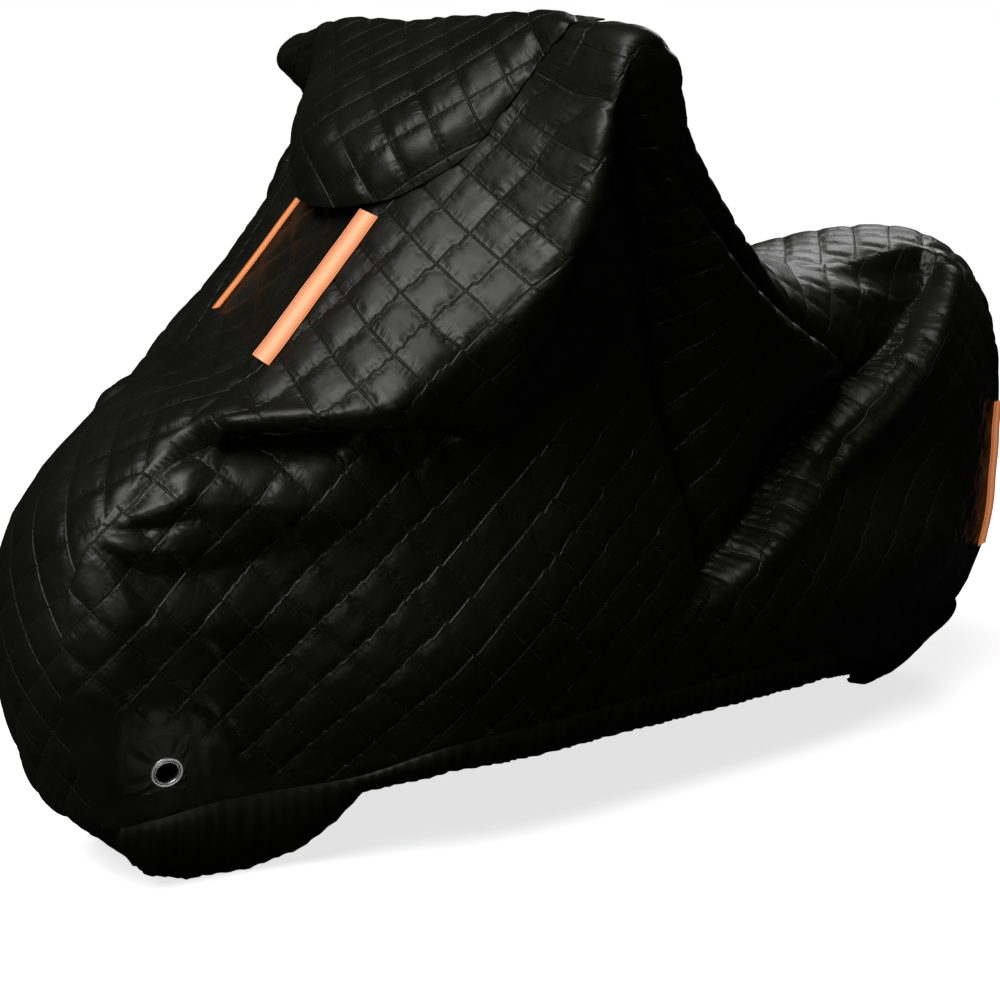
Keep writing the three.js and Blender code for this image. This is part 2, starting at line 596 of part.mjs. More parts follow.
// Height of the cloth under the hood, at a distance behind the axle and to the side
function heightUnderHood(s, y) {
  const { curve } = sideCurve(s, y < 0 ? -1 : 1);
  for (let k = curve.points.length - 1; k > 0; k -= 1) {
    if (Math.abs(curve.points[k][1]) >= Math.abs(y)) return curve.points[k][2];
  }
  return curve.points.at(-1)[2];
}

// The hood over the front of the handlebar, open along its lower edge
function hoodPanel() {
  const knots = HOOD.map(({ y }) => y);
  const rows = HOOD.map(({ brow, lip }) => [...brow, ...lip]);
  const count = Math.round((knots.at(-1) - knots[0]) / HALF_DIAMOND);
  const curves = [];
  for (let j = 0; j <= count; j += 1) {
    const y = THREE.MathUtils.lerp(knots[0], knots.at(-1), j / count);
    const [browS, browZ, lipS, lipZ] = smoothRows(knots, rows, y);
    const onSlope = (s, z) => [s, y, Math.max(z, heightUnderHood(s, y) + HOOD_LIFT.slope)];
    const onTop = (s, lift) => [s, y, heightUnderHood(s, y) + lift];
    const curve = denseCurve([
      onSlope(lipS, lipZ), onSlope(browS, browZ),
      onTop(HOOD_FRONT, HOOD_LIFT.front), onTop(HOOD_TOP, HOOD_LIFT.top),
    ]);
    curves.push({ curve, datum: curve.length.at(-1) });
  }
  return dressSheet(quiltSheet(curves), [], new THREE.Vector3(-0.5, 0, 1));
}

// The plain square that carries the eyelet, flat around a round hole
function eyeletPatch(panel, side) {
  const corners = [[-1, -1], [0, -1], [1, -1], [1, 0], [1, 1], [0, 1], [-1, 1], [-1, 0]];
  const rim = corners.map(([j, i]) => panel.points[panel.node(eyeletColumn + j, EYELET_AT.row + i)]);
  const normal = new THREE.Vector3();
  rim.forEach((p, k) => {
    const next = rim[(k + 1) % rim.length];
    normal.add(p.clone().sub(panel.eyelet).cross(next.clone().sub(panel.eyelet)));
  });
  normal.normalize().multiplyScalar(Math.sign(normal.y) * side);
  const along = new THREE.Vector3(0, 0, 1).cross(normal).normalize();
  const up = normal.clone().cross(along);
  const centre = rim.reduce((sum, p) => sum.add(p), new THREE.Vector3()).divideScalar(rim.length)
    .addScaledVector(along, Math.sign(along.x) * EYELET_AT.along).addScaledVector(up, EYELET_AT.up);
  const fullTurn = 2 * Math.PI;
  const turnOf = (p) => {
    const from = p.clone().sub(centre);
    return (Math.atan2(from.dot(up), from.dot(along)) + fullTurn) % fullTurn;
  };
  const sheet = { points: [], faces: [] };
  const addLoop = (points, turns) => {
    const first = sheet.points.length;
    sheet.points.push(...points);
    return { nodes: [...points.map((_, k) => first + k), first], turns: [...turns, turns[0] + fullTurn] };
  };
  const circle = (radius) => {
    const turns = [...Array(PATCH.sides).keys()].map((k) => fullTurn * k / PATCH.sides);
    const points = turns.map((turn) => centre.clone()
      .addScaledVector(along, Math.cos(turn) * radius)
      .addScaledVector(up, Math.sin(turn) * radius));
    return addLoop(points, turns);
  };
  const sorted = rim.map((p) => p.clone()).sort((p, q) => turnOf(p) - turnOf(q));
  const loops = [addLoop(sorted, sorted.map(turnOf)), circle(PATCH.flat), circle(PATCH.hole)];
  for (let k = 0; k < loops.length - 1; k += 1) {
    const [wide, narrow] = [loops[k], loops[k + 1]];
    sheet.faces.push(...zipRows(wide.nodes, wide.turns, narrow.nodes, narrow.turns));
  }
  sheet.odd = sheet.points.map(() => false);
  dressSheet(sheet, [], normal);
  for (let k = sorted.length; k < sheet.points.length; k += 1) sheet.normals[k] = normal.clone();
  return { sheet, centre, normal };
}

// A metal ring pressed through the patch, with a flange on each face
function eyeletRing(centre, normal) {
  const front = EYELET.clearance;
  const back = -CLOTH - EYELET.clearance;
  const profile = [
    [EYELET.hole, back - EYELET.backThickness], [EYELET.backFlange, back - EYELET.backThickness],
    [EYELET.backFlange, back], [EYELET.neck, back], [EYELET.neck, front], [EYELET.flange, front],
    [EYELET.flange, EYELET.frontEdge], [EYELET.shoulder, EYELET.frontHeight],
    [EYELET.neck, EYELET.frontHeight], [EYELET.hole, EYELET.frontEdge],
    [EYELET.hole, back - EYELET.backThickness],
  ].map(([radius, height]) => new THREE.Vector2(radius, height));
  const geometry = new THREE.LatheGeometry(profile, EYELET.sides);
  const turn = new THREE.Quaternion().setFromUnitVectors(new THREE.Vector3(0, 1, 0), normal);
  geometry.applyQuaternion(turn);
  geometry.translate(centre.x, centre.y, centre.z);
  return geometry;
}

// How far the cloth of some sheets stands out from a point, along a direction
function clothOver(point, direction, sheets) {
  const ray = new THREE.Ray(point.clone().addScaledVector(direction, SEARCH), direction.clone().negate());
  const hit = new THREE.Vector3();
  let highest = -SEARCH;
  for (const { outer, faces } of sheets) {
    for (const [a, b, c] of faces) {
      const found = ray.intersectTriangle(outer[a], outer[b], outer[c], false, hit);
      if (found) highest = Math.max(highest, hit.sub(point).dot(direction));
    }
  }
  return highest;
}

// Where a seam reaches a height, on its front or its rear stretch
function seamDistance(path, side, height, rear) {
  const half = path.length / 2;
  let [from, to] = rear ? [half, path.length] : [0, half];
  for (let k = 0; k < HALVINGS; k += 1) {
    const middle = (from + to) / 2;
    const above = path.at(middle, side).z > height;
    if (above === rear) from = middle;
    else to = middle;
  }
  return from;
}

// A reflective strip laid on the cloth along the seam between two heights. Its rows of points
// clear the highest cloth near them, and each has a point on the face above it.
function seamStrip(path, { side, rear, low, high, beside, lean, lift }, sheets) {
  const ends = [low, high].map((height) => seamDistance(path, side, height, rear));
  const [start, end] = ends.sort((a, b) => a - b);
  const step = (end - start) / STRIP.steps;
  const frameAt = (t) => {
    const up = path.up(t, side).multiplyScalar(lean);
    const out = up.add(new THREE.Vector3(0, side * (1 - lean), 0)).normalize();
    const across = path.along(t, side).cross(out).multiplyScalar(-side).normalize();
    const middle = path.at(t, side).addScaledVector(across, beside);
    return { out, place: (aside) => middle.clone().addScaledVector(across, aside * STRIP.width) };
  };
  const heights = [];
  for (let k = -2; k <= 2 * STRIP.steps + 2; k += 1) {
    const { out, place } = frameAt(start + k * step / 2);
    heights.push(STRIP_ROWS.map((aside) => clothOver(place(aside), out, sheets)));
  }
  const points = [];
  for (let k = 0; k <= STRIP.steps; k += 1) {
    const { out, place } = frameAt(start + k * step);
    const lower = STRIP_ROWS.map((aside, row) => {
      const lines = heights.slice(2 * k, 2 * k + 5);
      const near = lines.flatMap((line) => line.slice(Math.max(0, row - 1), row + 2));
      return place(aside).addScaledVector(out, Math.max(...near) + lift);
    });
    const upper = lower.map((p) => p.clone().addScaledVector(out, STRIP.thickness));
    points.push(...lower, ...upper.reverse());
  }
  const ring = 2 * STRIP_ROWS.length;
  const faces = [];
  for (let k = 0; k < STRIP.steps; k += 1) {
    for (let c = 0; c < ring; c += 1) {
      const [a, b] = [ring * k + c, ring * k + (c + 1) % ring];
      faces.push([a, b, b + ring], [a, b + ring, a + ring]);
    }
  }
  const last = ring * STRIP.steps;
  for (let c = 0; c < STRIP_ROWS.length - 1; c += 1) {
    const [a, b, d, e] = [c, c + 1, ring - 2 - c, ring - 1 - c];
    faces.push([a, e, d], [a, d, b], [last + a, last + d, last + e], [last + a, last + b, last + d]);
  }
  const tripleOf = ([a, b, c]) => points[a].dot(points[b].clone().cross(points[c]));
  const volume = faces.reduce((sum, face) => sum + tripleOf(face), 0);
  return geometryOf(points, volume < 0 ? faces.map(([a, b, c]) => [a, c, b]) : faces);
}

const left = sidePanel(-1, LEFT_FOLDS);
const right = sidePanel(1, RIGHT_FOLDS);
const path = seamPath(seamNodes(left), seamNodes(right));
const centre = centrePanel(path, seamNodes(left), seamNodes(right));
const [leftHem, rightHem] = [hemNodes(left), hemNodes(right)];
const band = hemBand([...leftHem, ...centre.rearHem, ...rightHem.reverse(), ...centre.frontHem.reverse()]);
const hood = hoodPanel();
const patches = [{ name: 'left', panel: left, side: -1 }, { name: 'right', panel: right, side: 1 }]
  .map(({ name, panel, side }) => ({ name, ...eyeletPatch(panel, side) }));
joinSeams([left, right, centre, band, hood, ...patches.map(({ sheet }) => sheet)]);
[left, right].forEach(dropUnused);

addPiece('side_panel_left', thicken(left), BLACK);
addPiece('side_panel_right', thicken(right), BLACK);
addPiece('centre_panel', thicken(centre), BLACK);
addPiece('hood_panel', thicken(hood), BLACK);
addPiece('hem_band', thicken(band), BAND_BLACK);
for (const { name, sheet, centre: middle, normal } of patches) {
  addPiece(`eyelet_patch_${name}`, thicken(sheet), BAND_BLACK);
  addPiece(`eyelet_ring_${name}`, eyeletRing(middle, normal), STEEL);
}
for (const strip of STRIPS) {
  addPiece(strip.name, seamStrip(path, strip, [centre, strip.side < 0 ? left : right]), ORANGE);
}

// The origin is on the floor, under the middle of the cover
const box = new THREE.Box3().setFromObject(group);
group.position.set(-(box.min.x + box.max.x) / 2, -(box.min.y + box.max.y) / 2, -box.min.z);

export default group;
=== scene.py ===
"""A quilted motorcycle cover in the shape in which it hangs over a motorcycle.

Tables are in millimetres: s is the distance behind the front axle, y is negative on the left
side and z is the height. Meshes are in metres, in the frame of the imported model.
"""
import math

import bpy
import numpy as np
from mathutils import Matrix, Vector
from mathutils.bvhtree import BVHTree


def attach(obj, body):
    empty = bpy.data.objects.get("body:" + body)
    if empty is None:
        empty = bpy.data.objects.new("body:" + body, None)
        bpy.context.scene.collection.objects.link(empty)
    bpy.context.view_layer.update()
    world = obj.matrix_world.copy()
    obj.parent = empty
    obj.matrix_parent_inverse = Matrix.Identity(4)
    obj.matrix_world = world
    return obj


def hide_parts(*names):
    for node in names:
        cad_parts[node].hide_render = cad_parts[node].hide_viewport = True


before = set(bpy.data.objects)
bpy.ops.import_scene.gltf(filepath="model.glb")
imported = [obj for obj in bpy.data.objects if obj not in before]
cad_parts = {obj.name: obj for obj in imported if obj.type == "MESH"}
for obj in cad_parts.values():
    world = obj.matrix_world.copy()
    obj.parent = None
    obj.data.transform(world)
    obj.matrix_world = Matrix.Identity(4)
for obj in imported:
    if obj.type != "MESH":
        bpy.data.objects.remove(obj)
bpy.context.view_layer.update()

# Driving sizes
HALF_DIAMOND = 44.5      # half the diagonal of one quilted diamond
DIAMOND = 62.9           # side of one quilted diamond
FINE = 7                 # mesh steps in half a diamond
PUFF = 3.2               # how far the middle of a diamond stands out
VALLEY = 8.5             # half width of the dip along a line of stitches
CLOTH = 3.0              # thickness of the padded cloth
ROLL = 0.6               # how far a seam lies below the cloth beside it
EDGE_FADE = 16           # how far from an edge of the sheet the padding has its full height
FOLD_FADE = 36           # how far from it a fold has its full height
FOLD_PLACES = 49         # places tried along a fold to find the nearest one
FOLD_ENDS = 0.05         # share of a fold that is already open at each of its ends
LEAST_CELL = 0.3         # a column ends in a cell at least this share of a mesh step
SEAM_GRAIN = 0.05        # points that lie this near on two sheets are one point of their seam
CENTRE_CELLS = 6         # width of the centre panel in half diamonds
UPRIGHT = 0.8            # how strongly the diamonds of the side panels stand on their corners
AXLE = np.array([-707.52, 1.41, -0.156])    # the front axle's place on the ground, in the frame

# Degrees from the belly, or from the hood's top edge, to a stitch line, and the shares of the
# sheet's width between which that direction is measured
QUILT_TURN = {"side": 45, "hood": 38}
QUILT_ENDS = (0.3, 0.75)

# How uneven the cloth is: how much the heights of its diamonds differ, how far each leans, the
# height of its crumples, of the sheet's sway and of the wrinkles where it is plain. A crumple
# has its seed, how many there are along and across a diamond, and its share of the height.
UNEVEN = {"height": 0.2, "lean": 0.8, "crumple": 0.45, "sway": 2.2, "wrinkle": 0.9}
CRUMPLES = [(3, 3.7, 2.3, 1.0), (4, 6.1, 4.7, 0.6)]

# Sections of a side panel, front to rear: the distance behind the axle, how far the ends of
# the section lie behind its middle, and half width and height at each level
LEVELS = ("hem", "low", "waist", "ridge", "crown", "seam")
SECTION_COLUMNS = ("s", "bow") + LEVELS
SECTIONS = [
    (-262, 22, (112, 208), (116, 300), (119, 345), (120, 390), (118, 435), (114, 478)),
    (-212, 0, (116, 128), (150, 300), (158, 370), (155, 440), (142, 495), (122, 535)),
    (-140, 0, (134, 124), (168, 300), (175, 410), (170, 510), (155, 575), (129, 614)),
    (-60, 0, (150, 134), (184, 300), (192, 465), (186, 664), (160, 680), (130, 684)),
    (30, 0, (176, 140), (210, 300), (212, 490), (246, 682), (195, 718), (132, 741)),
    (140, 0, (235, 155), (275, 315), (258, 545), (338, 712), (232, 812), (138, 851)),
    (240, 0, (290, 188), (322, 330), (290, 560), (358, 766), (248, 912), (138, 966)),
    (320, 0, (310, 198), (342, 350), (312, 600), (394, 836), (268, 1000), (132, 1062)),
    (385, 0, (316, 200), (350, 370), (322, 670), (426, 965), (292, 1100), (130, 1146)),
    (440, 0, (318, 201), (352, 380), (330, 760), (458, 1160), (305, 1206), (130, 1208)),
    (530, 0, (318, 201), (352, 380), (330, 770), (452, 1160), (300, 1204), (130, 1208)),
    (610, 0, (318, 199), (350, 370), (322, 720), (402, 1045), (268, 1128), (130, 1174)),
    (760, 0, (318, 197), (345, 360), (302, 640), (345, 905), (235, 985), (130, 1025)),
    (900, 0, (316, 193), (340, 350), (282, 560), (305, 800), (218, 866), (130, 900)),
    (1050, 0, (306, 182), (335, 345), (272, 500), (278, 700), (210, 790), (130, 832)),
    (1200, 0, (265, 156), (322, 330), (275, 470), (280, 650), (215, 772), (130, 818)),
    (1350, 0, (196, 124), (290, 310), (280, 460), (285, 640), (222, 778), (130, 832)),
    (1460, 0, (168, 136), (240, 310), (252, 460), (254, 640), (216, 776), (134, 830)),
    (1545, 0, (160, 156), (202, 310), (209, 450), (211, 606), (200, 712), (144, 792)),
    (1592, -6, (156, 188), (195, 310), (200, 400), (200, 500), (194, 606), (164, 718)),
]

# How far the right side's seam, crown, ridge and waist lie nearer to the middle, how far its
# seam and ridge lie lower and how far its waist lies higher, up under the handlebar end
ASKEW_COLUMNS = ("s", "seam_in", "seam_down", "crown_in", "ridge_in", "ridge_down", "waist_in", "waist_up")
RIGHT_ASKEW = [
    (-140, 0, 0, 0, 0, 0, 0, 0),
    (-20, 20, 6, 26, 0, 22, 0, 0),
    (100, 30, 20, 46, 0, 10, 0, 0),
    (275, 34, 34, 40, 12, 0, 0, 0),
    (340, 26, 24, 56, 32, 0, 0, 20),
    (385, 18, 14, 46, 48, 0, 0, 80),
    (405, 15, 11, 36, 118, 0, 14, 160),
    (425, 11, 8, 20, 130, 0, 20, 240),
    (441, 7, 5, 6, 0, 0, 16, 306),
    (500, 0, 0, 0, 0, 0, 8, 300),
    (570, 0, 0, 0, 0, 0, 0, 120),
    (640, 0, 0, 0, 0, 0, 0, 0),
]

# Hem columns, in half diamonds, that belong to the seam of the centre panel
SEAM_COLUMNS = {"front": 2, "rear": 1}

# Folds seen from the side. Each has its start, the point that its middle is pulled towards, its
# end, its height outwards, its half width on the left of the curve, seen along it, and on its
# right, and how crisp it is: 0 is a soft fold and 1 a pinched one.
LEFT_FOLDS = {
    "crease down from the handlebar end": ((141, 716), (455, 880), (434, 1145), 13, (30, 20), 0.7),
    "trough below the handlebar end": ((450, 1110), (690, 800), (755, 385), -64, (56, 44), 0.2),
    "ridge behind the trough": ((470, 1135), (710, 800), (1120, 660), 20, (20, 34), 0.5),
    "pleat behind that ridge": ((590, 1030), (800, 820), (1130, 674), -44, (20, 18), 0.6),
    "pocket at the top of the seat": ((755, 905), (800, 868), (870, 815), -26, (13, 15), 0.3),
    "rear ridge of the pair": ((560, 1085), (740, 900), (860, 850), 10, (18, 14), 0.3),
    "valley from the tail": ((1405, 815), (1120, 600), (745, 368), -76, (18, 66), 0.2),
    "roll from the tail": ((1440, 828), (1205, 520), (748, 348), 20, (30, 14), 0.2),
    "tuck under the front shelf": ((-90, 676), (70, 650), (240, 650), -84, (15, 50), 0.2),
    "edge of the front shelf": ((-80, 688), (50, 692), (150, 714), 9, (12, 8), 0.3),
    "shoulder below the tuck": ((-100, 620), (40, 580), (170, 530), 12, (40, 40), 0.0),
    "tuck over the front wheel": ((-190, 500), (-90, 470), (20, 500), -15, (24, 32), 0.3),
    "puff below the tuck": ((-180, 430), (-60, 400), (60, 420), 10, (34, 34), 0.0),
    "first gather at the front seam": ((-196, 566), (-150, 590), (-105, 640), -9, (8, 10), 0.5),
    "second gather": ((-196, 560), (-140, 566), (-80, 598), 8, (9, 9), 0.4),
    "third gather": ((-196, 552), (-140, 548), (-80, 560), -9, (8, 9), 0.5),
    "fourth gather": ((-196, 540), (-150, 520), (-95, 516), 8, (9, 9), 0.4),
    "fifth gather": ((-200, 530), (-170, 500), (-130, 470), -8, (8, 9), 0.5),
    "last gather": ((-205, 520), (-190, 480), (-170, 440), 6, (9, 10), 0.4),
    "pleat at the tail's corner": ((1420, 800), (1310, 790), (1180, 800), -10, (14, 18), 0.5),
    "second pleat at the corner": ((1400, 780), (1290, 750), (1150, 748), -9, (13, 20), 0.5),
}
RIGHT_FOLDS = {
    "cloth drawn in before the handlebar end": ((280, 760), (370, 900), (400, 1010), -30, (50, 50), 0.0),
    "trough below the handlebar end": ((500, 1100), (700, 800), (730, 400), -50, (54, 54), 0.2),
    "ridge behind it": ((480, 1140), (680, 830), (1000, 660), 18, (38, 38), 0.0),
    "valley behind the ridge": ((570, 1040), (780, 810), (1060, 650), -30, (34, 34), 0.4),
    "valley from the tail": ((1400, 810), (1100, 600), (780, 390), -58, (26, 50), 0.2),
    "ridge from the tail": ((1430, 820), (1190, 520), (790, 350), 22, (44, 22), 0.0),
    "tuck under the front shelf": ((-60, 650), (80, 635), (230, 590), -38, (24, 40), 0.2),
    "tuck over the front wheel": ((-180, 470), (-80, 450), (30, 480), -16, (32, 32), 0.2),
}

# The plain cloth around the eyelets: height of its upper edge, seen from the side
PLAIN_COLUMNS = ("s", "top")
PLAIN = [(-262, 325), (-160, 275), (-30, 195), (60, 130)]
PLAIN_FADE = 26

# How far the middle of the centre panel stands out from its seams, along its length
RISE_COLUMNS = ("at", "rise")
CENTRE_RISE = [
    (0.00, 16), (0.08, 22), (0.15, 22), (0.20, 10), (0.26, -5), (0.38, -6),
    (0.52, -4), (0.62, 8), (0.70, 20), (0.76, 24), (0.79, 42), (0.82, 84),
    (0.85, 100), (0.90, 106), (0.94, 100), (0.97, 72), (1.00, 26),
]

# Columns of the hood from left to right: y, then s and height of its brow and its free edge
HOOD_TOP = 505
HOOD_FRONT = 440
HOOD_LIFT = {"top": 9, "front": 12, "slope": 10}
HOOD_COLUMNS = ("y", "brow", "lip")
HOOD = [
    (-330, (438, 1195), (432, 1186)),
    (-285, (408, 1168), (392, 1112)),
    (-250, (356, 1108), (333, 1040)),
    (-200, (296, 1066), (278, 988)),
    (-130, (252, 1052), (222, 964)),
    (-60, (234, 1055), (205, 958)),
    (0, (230, 1062), (206, 962)),
    (60, (248, 1074), (226, 976)),
    (120, (284, 1092), (262, 1012)),
    (200, (350, 1130), (334, 1070)),
    (270, (404, 1166), (392, 1122)),
    (325, (438, 1195), (432, 1186)),
]

# Height of the lower edge of the hem band, and how far it curls in
BAND_COLUMNS = ("s", "bottom", "curl")
BAND = [
    (-300, 84, 30), (-210, 58, 40), (-150, 24, 48), (-80, 0, 56), (0, 0, 56), (60, 24, 48),
    (110, 74, 34), (145, 122, 22), (260, 146, 18), (1050, 132, 20), (1200, 98, 40),
    (1330, 30, 86), (1400, 0, 92), (1450, 10, 80), (1520, 66, 50), (1700, 172, 24),
]
BAND_STEPS = 16
BAND_SAG = 5

# The band's gathers: their pitch and height, and how much they grow downwards, the broader
# ones among them, and how far their places drift. The elastic's roll is near the lower edge.
GATHERS = {"pitch": 21, "height": 1.6, "growth": 0.8, "open": 0.2}
BROAD = {"pitch": 93, "height": 1.6}
DRIFT = {"far": 14, "pitch": 70}
ELASTIC = {"height": 1.3, "at": 0.94, "spread": 0.06}

# The strips: the side, whether it is at the rear, the heights between which each follows its
# seam, how far beside the seam it lies, on the side panel, how much it faces the way that the
# centre panel does, and its flat length in metres
STRIP = {"width": 30, "thickness": 1.2, "steps": 64, "smoothing": 30, "straight": 0.8,
         "columns": 11, "lift": 0.5, "border": 0.42, "raised": 0.35, "reach": 60}
STRIPS = [
    ("front_strip_left", -1, False, 757, 951, 10, 0.6, 0.28),
    ("front_strip_right", 1, False, 800, 958, -15, 0.8, 0.23),
    ("rear_strip_left", -1, True, 268, 545, 18, 0.2, 0.29),
    ("rear_strip_right", 1, True, 268, 545, 18, 0.2, 0.29),
]

EYELET_AT = {"s": -165, "row": -2, "along": 15, "up": -15}
EYELET = {"hole": 16, "neck": 17.4, "flange": 24, "back_flange": 22, "clearance": 0.3, "sides": 96}
PATCH = {"hole": 17.6, "flat": 26, "rings": 9, "fade": 55, "pucker": 0.9}

# Profile of the pressed eyelet: from which of its radii, how much wider, from which face of
# the cloth and how much further out
RING = [
    ("hole", 0.0, "back", -0.6), ("hole", 0.4, "back", -1.0), ("back_flange", -0.4, "back", -1.0),
    ("back_flange", 0.0, "back", -0.7), ("back_flange", 0.0, "back", -0.2), ("neck", 0.0, "back", 0.0),
    ("neck", 0.0, "front", 0.0), ("flange", -0.3, "front", 0.0), ("flange", 0.0, "front", 0.3),
    ("flange", -0.1, "front", 0.7), ("flange", -0.9, "front", 1.15), ("flange", -2.4, "front", 1.35),
    ("flange", -3.4, "front", 1.1), ("flange", -4.0, "front", 1.0), ("flange", -4.6, "front", 1.25),
    ("neck", 0.9, "front", 2.1), ("neck", 0.0, "front", 2.25), ("hole", 0.5, "front", 1.9),
    ("hole", 0.1, "front", 1.2), ("hole", 0.0, "front", 0.4),
]

# The camera, fitted to the photo: its place, its heading, its pitch and its focal length
CAMERA_AT = (-1265, -2414, 1174)
CAMERA_AZIMUTH = -37.28
CAMERA_PITCH = 13.25
CAMERA_LENS = 68.4


def metres(points):
    return (np.asarray(points, float) + AXLE) / 1000


def column_of(table, names, name):
    """One named column of a table, as an array."""
    index = names.index(name)
    return np.array([row[index] for row in table], float)


def look_up(table, names, key, name, at):
    return np.interp(at, column_of(table, names, key), column_of(table, names, name))


def smooth_step(x):
    x = np.clip(x, 0, 1)
    return x * x * (3 - 2 * x)


def unit(vectors):
    length = np.linalg.norm(vectors, axis=-1, keepdims=True)
    return vectors / np.maximum(length, 1e-12)


def smooth_rows(knots, rows, at):
    """Smooth values through rows of numbers at uneven knots."""
    knots, rows, at = np.asarray(knots, float), np.asarray(rows, float), np.atleast_1d(at)
    slope = np.empty_like(rows)
    slope[1:-1] = (rows[2:] - rows[:-2]) / (knots[2:] - knots[:-2])[:, None]
    slope[0] = (rows[1] - rows[0]) / (knots[1] - knots[0])
    slope[-1] = (rows[-1] - rows[-2]) / (knots[-1] - knots[-2])
    k = np.clip(np.searchsorted(knots, at, side="right") - 1, 0, len(knots) - 2)
    span = (knots[k + 1] - knots[k])[:, None]
    f = (at - knots[k])[:, None] / span
    return ((2 * f**3 - 3 * f**2 + 1) * rows[k] + (f**3 - 2 * f**2 + f) * span * slope[k]
            + (3 * f**2 - 2 * f**3) * rows[k + 1] + (f**3 - f**2) * span * slope[k + 1])


class Curve:
    """A smooth curve through points, walked in small steps, with the length at each step."""

    def __init__(self, points, steps=160):
        points = np.asarray(points, float)
        knots = np.concatenate([[0], np.cumsum(np.linalg.norm(np.diff(points, axis=0), axis=1))])
        at = knots[-1] * np.arange(steps + 1) / steps
        self.points = smooth_rows(knots, points, at)
        walked = np.linalg.norm(np.diff(self.points, axis=0), axis=1)
        self.length = np.concatenate([[0], np.cumsum(walked)])
        self.knots = self.length[np.searchsorted(at, knots + 1e-9, side="right") - 1]

    def at(self, length):
        return np.stack([np.interp(length, self.length, c) for c in self.points.T], axis=-1)


class Noise:
    """Smooth seeded noise from -1 to 1 over a plane."""

    SIZE = 256

    def __init__(self, seed):
        self.grid = np.random.default_rng(seed).uniform(-1, 1, (self.SIZE, self.SIZE))

    def at(self, x, y):
        i, j = np.floor(x).astype(int), np.floor(y).astype(int)
        f, g = smooth_step(x - i), smooth_step(y - j)
        low = self.cell(i, j) * (1 - f) + self.cell(i + 1, j) * f
        high = self.cell(i, j + 1) * (1 - f) + self.cell(i + 1, j + 1) * f
        return low * (1 - g) + high * g

    def cell(self, x, y):
        """The value of the whole square that a place lies in."""
        return self.grid[np.floor(x).astype(int) % self.SIZE, np.floor(y).astype(int) % self.SIZE]


class Sheet:
    """Points joined by triangles, with the place of each point in the lattice and the quilting."""

    def __init__(self):
        self.points = np.zeros((0, 3))
        self.grid = np.zeros((0, 2))        # column and row in half diamonds
        self.quilt = np.zeros((0, 2))       # flat place in whole diamonds, along the stitch lines
        self.rim = np.zeros(0)              # distance to the nearest edge
        self.faces = np.zeros((0, 3), int)
        self.columns = []

    def add(self, points, grid, rim):
        first = len(self.points)
        self.points = np.concatenate([self.points, points])
        self.grid = np.concatenate([self.grid, grid])
        self.rim = np.concatenate([self.rim, rim])
        return first

    def normals(self, points):
        a, b, c = (points[self.faces[:, k]] for k in range(3))
        flat = np.cross(b - a, c - a)
        total = np.zeros_like(points)
        for k in range(3):
            np.add.at(total, self.faces[:, k], flat)
        return unit(total)

    def edges(self):
        """Directed edges that only one face has."""
        pairs = np.concatenate([self.faces[:, [0, 1]], self.faces[:, [1, 2]], self.faces[:, [2, 0]]])
        count = len(self.points)
        key = pairs[:, 0] * count + pairs[:, 1]
        back = pairs[:, 1] * count + pairs[:, 0]
        return pairs[~np.isin(key, back)]

    def face_along(self, outward):
        if (self.normals(self.points) * outward).sum() < 0:
            self.faces = self.faces[:, [0, 2, 1]]

    def node(self, j, i):
        low, high, first = self.columns[j]
        return first + np.clip(i, low, high) - low

    def add_cells(self, corners, even):
        """Two triangles for each cell of four corners, cut one way or the other."""
        a, b, c, d = corners
        even = np.broadcast_to(even, a.shape)[:, None]
        faces = np.concatenate([np.where(even, np.stack([a, b, c], 1), np.stack([a, b, d], 1)),
                                np.where(even, np.stack([a, c, d], 1), np.stack([b, c, d], 1))])
        keep = (faces != np.roll(faces, 1, axis=1)).all(1)
        self.faces = np.concatenate([self.faces, faces[keep]])

    def join_grid(self, rows, columns, alternate):
        """Joins the points that were added row by row."""
        row, column = (n.ravel() for n in np.meshgrid(range(rows - 1), range(columns - 1), indexing="ij"))
        a = row * columns + column
        even = (row + column) % 2 == 0 if alternate else True
        self.add_cells((a, a + 1, a + columns + 1, a + columns), even)

    def join_rings(self, count):
        """Joins the points that were added ring by ring."""
        here = np.arange(count)
        after = np.roll(here, -1)
        for first in range(0, len(self.points) - count, count):
            a, b = first + here, first + after
            self.add_cells((a, a + count, b + count, b), True)


def lattice_sheet(curves, fine, is_open=None):
    """Columns of points, each a curve with the datum of its row 0, become one sheet."""
    step = HALF_DIAMOND / fine
    sheet = Sheet()
    last = len(curves) - 1
    for j, (curve, datum) in enumerate(curves):
        bottom, top = -datum, curve.length[-1] - datum
        low, high = math.floor(bottom / step + LEAST_CELL), math.ceil(top / step - LEAST_CELL)
        v = np.arange(low, high + 1) * step
        v[0], v[-1] = bottom, top
        grid = np.stack([np.full(len(v), j / fine), v / HALF_DIAMOND], 1)
        rim = np.minimum(np.minimum(v - bottom, top - v), min(j, last - j) * step)
        sheet.columns.append((low, high, sheet.add(curve.at(v + datum), grid, rim)))
    for j in range(last):
        here, after = sheet.columns[j], sheet.columns[j + 1]
        i = np.arange(min(here[0], after[0]), max(here[1], after[1]))
        if is_open:
            i = i[~is_open(j, i)]
        corners = [sheet.node(j + k, i + n) for k, n in ((0, 0), (1, 0), (1, 1), (0, 1))]
        sheet.add_cells(corners, (i + j) % 2 == 0)
    return sheet


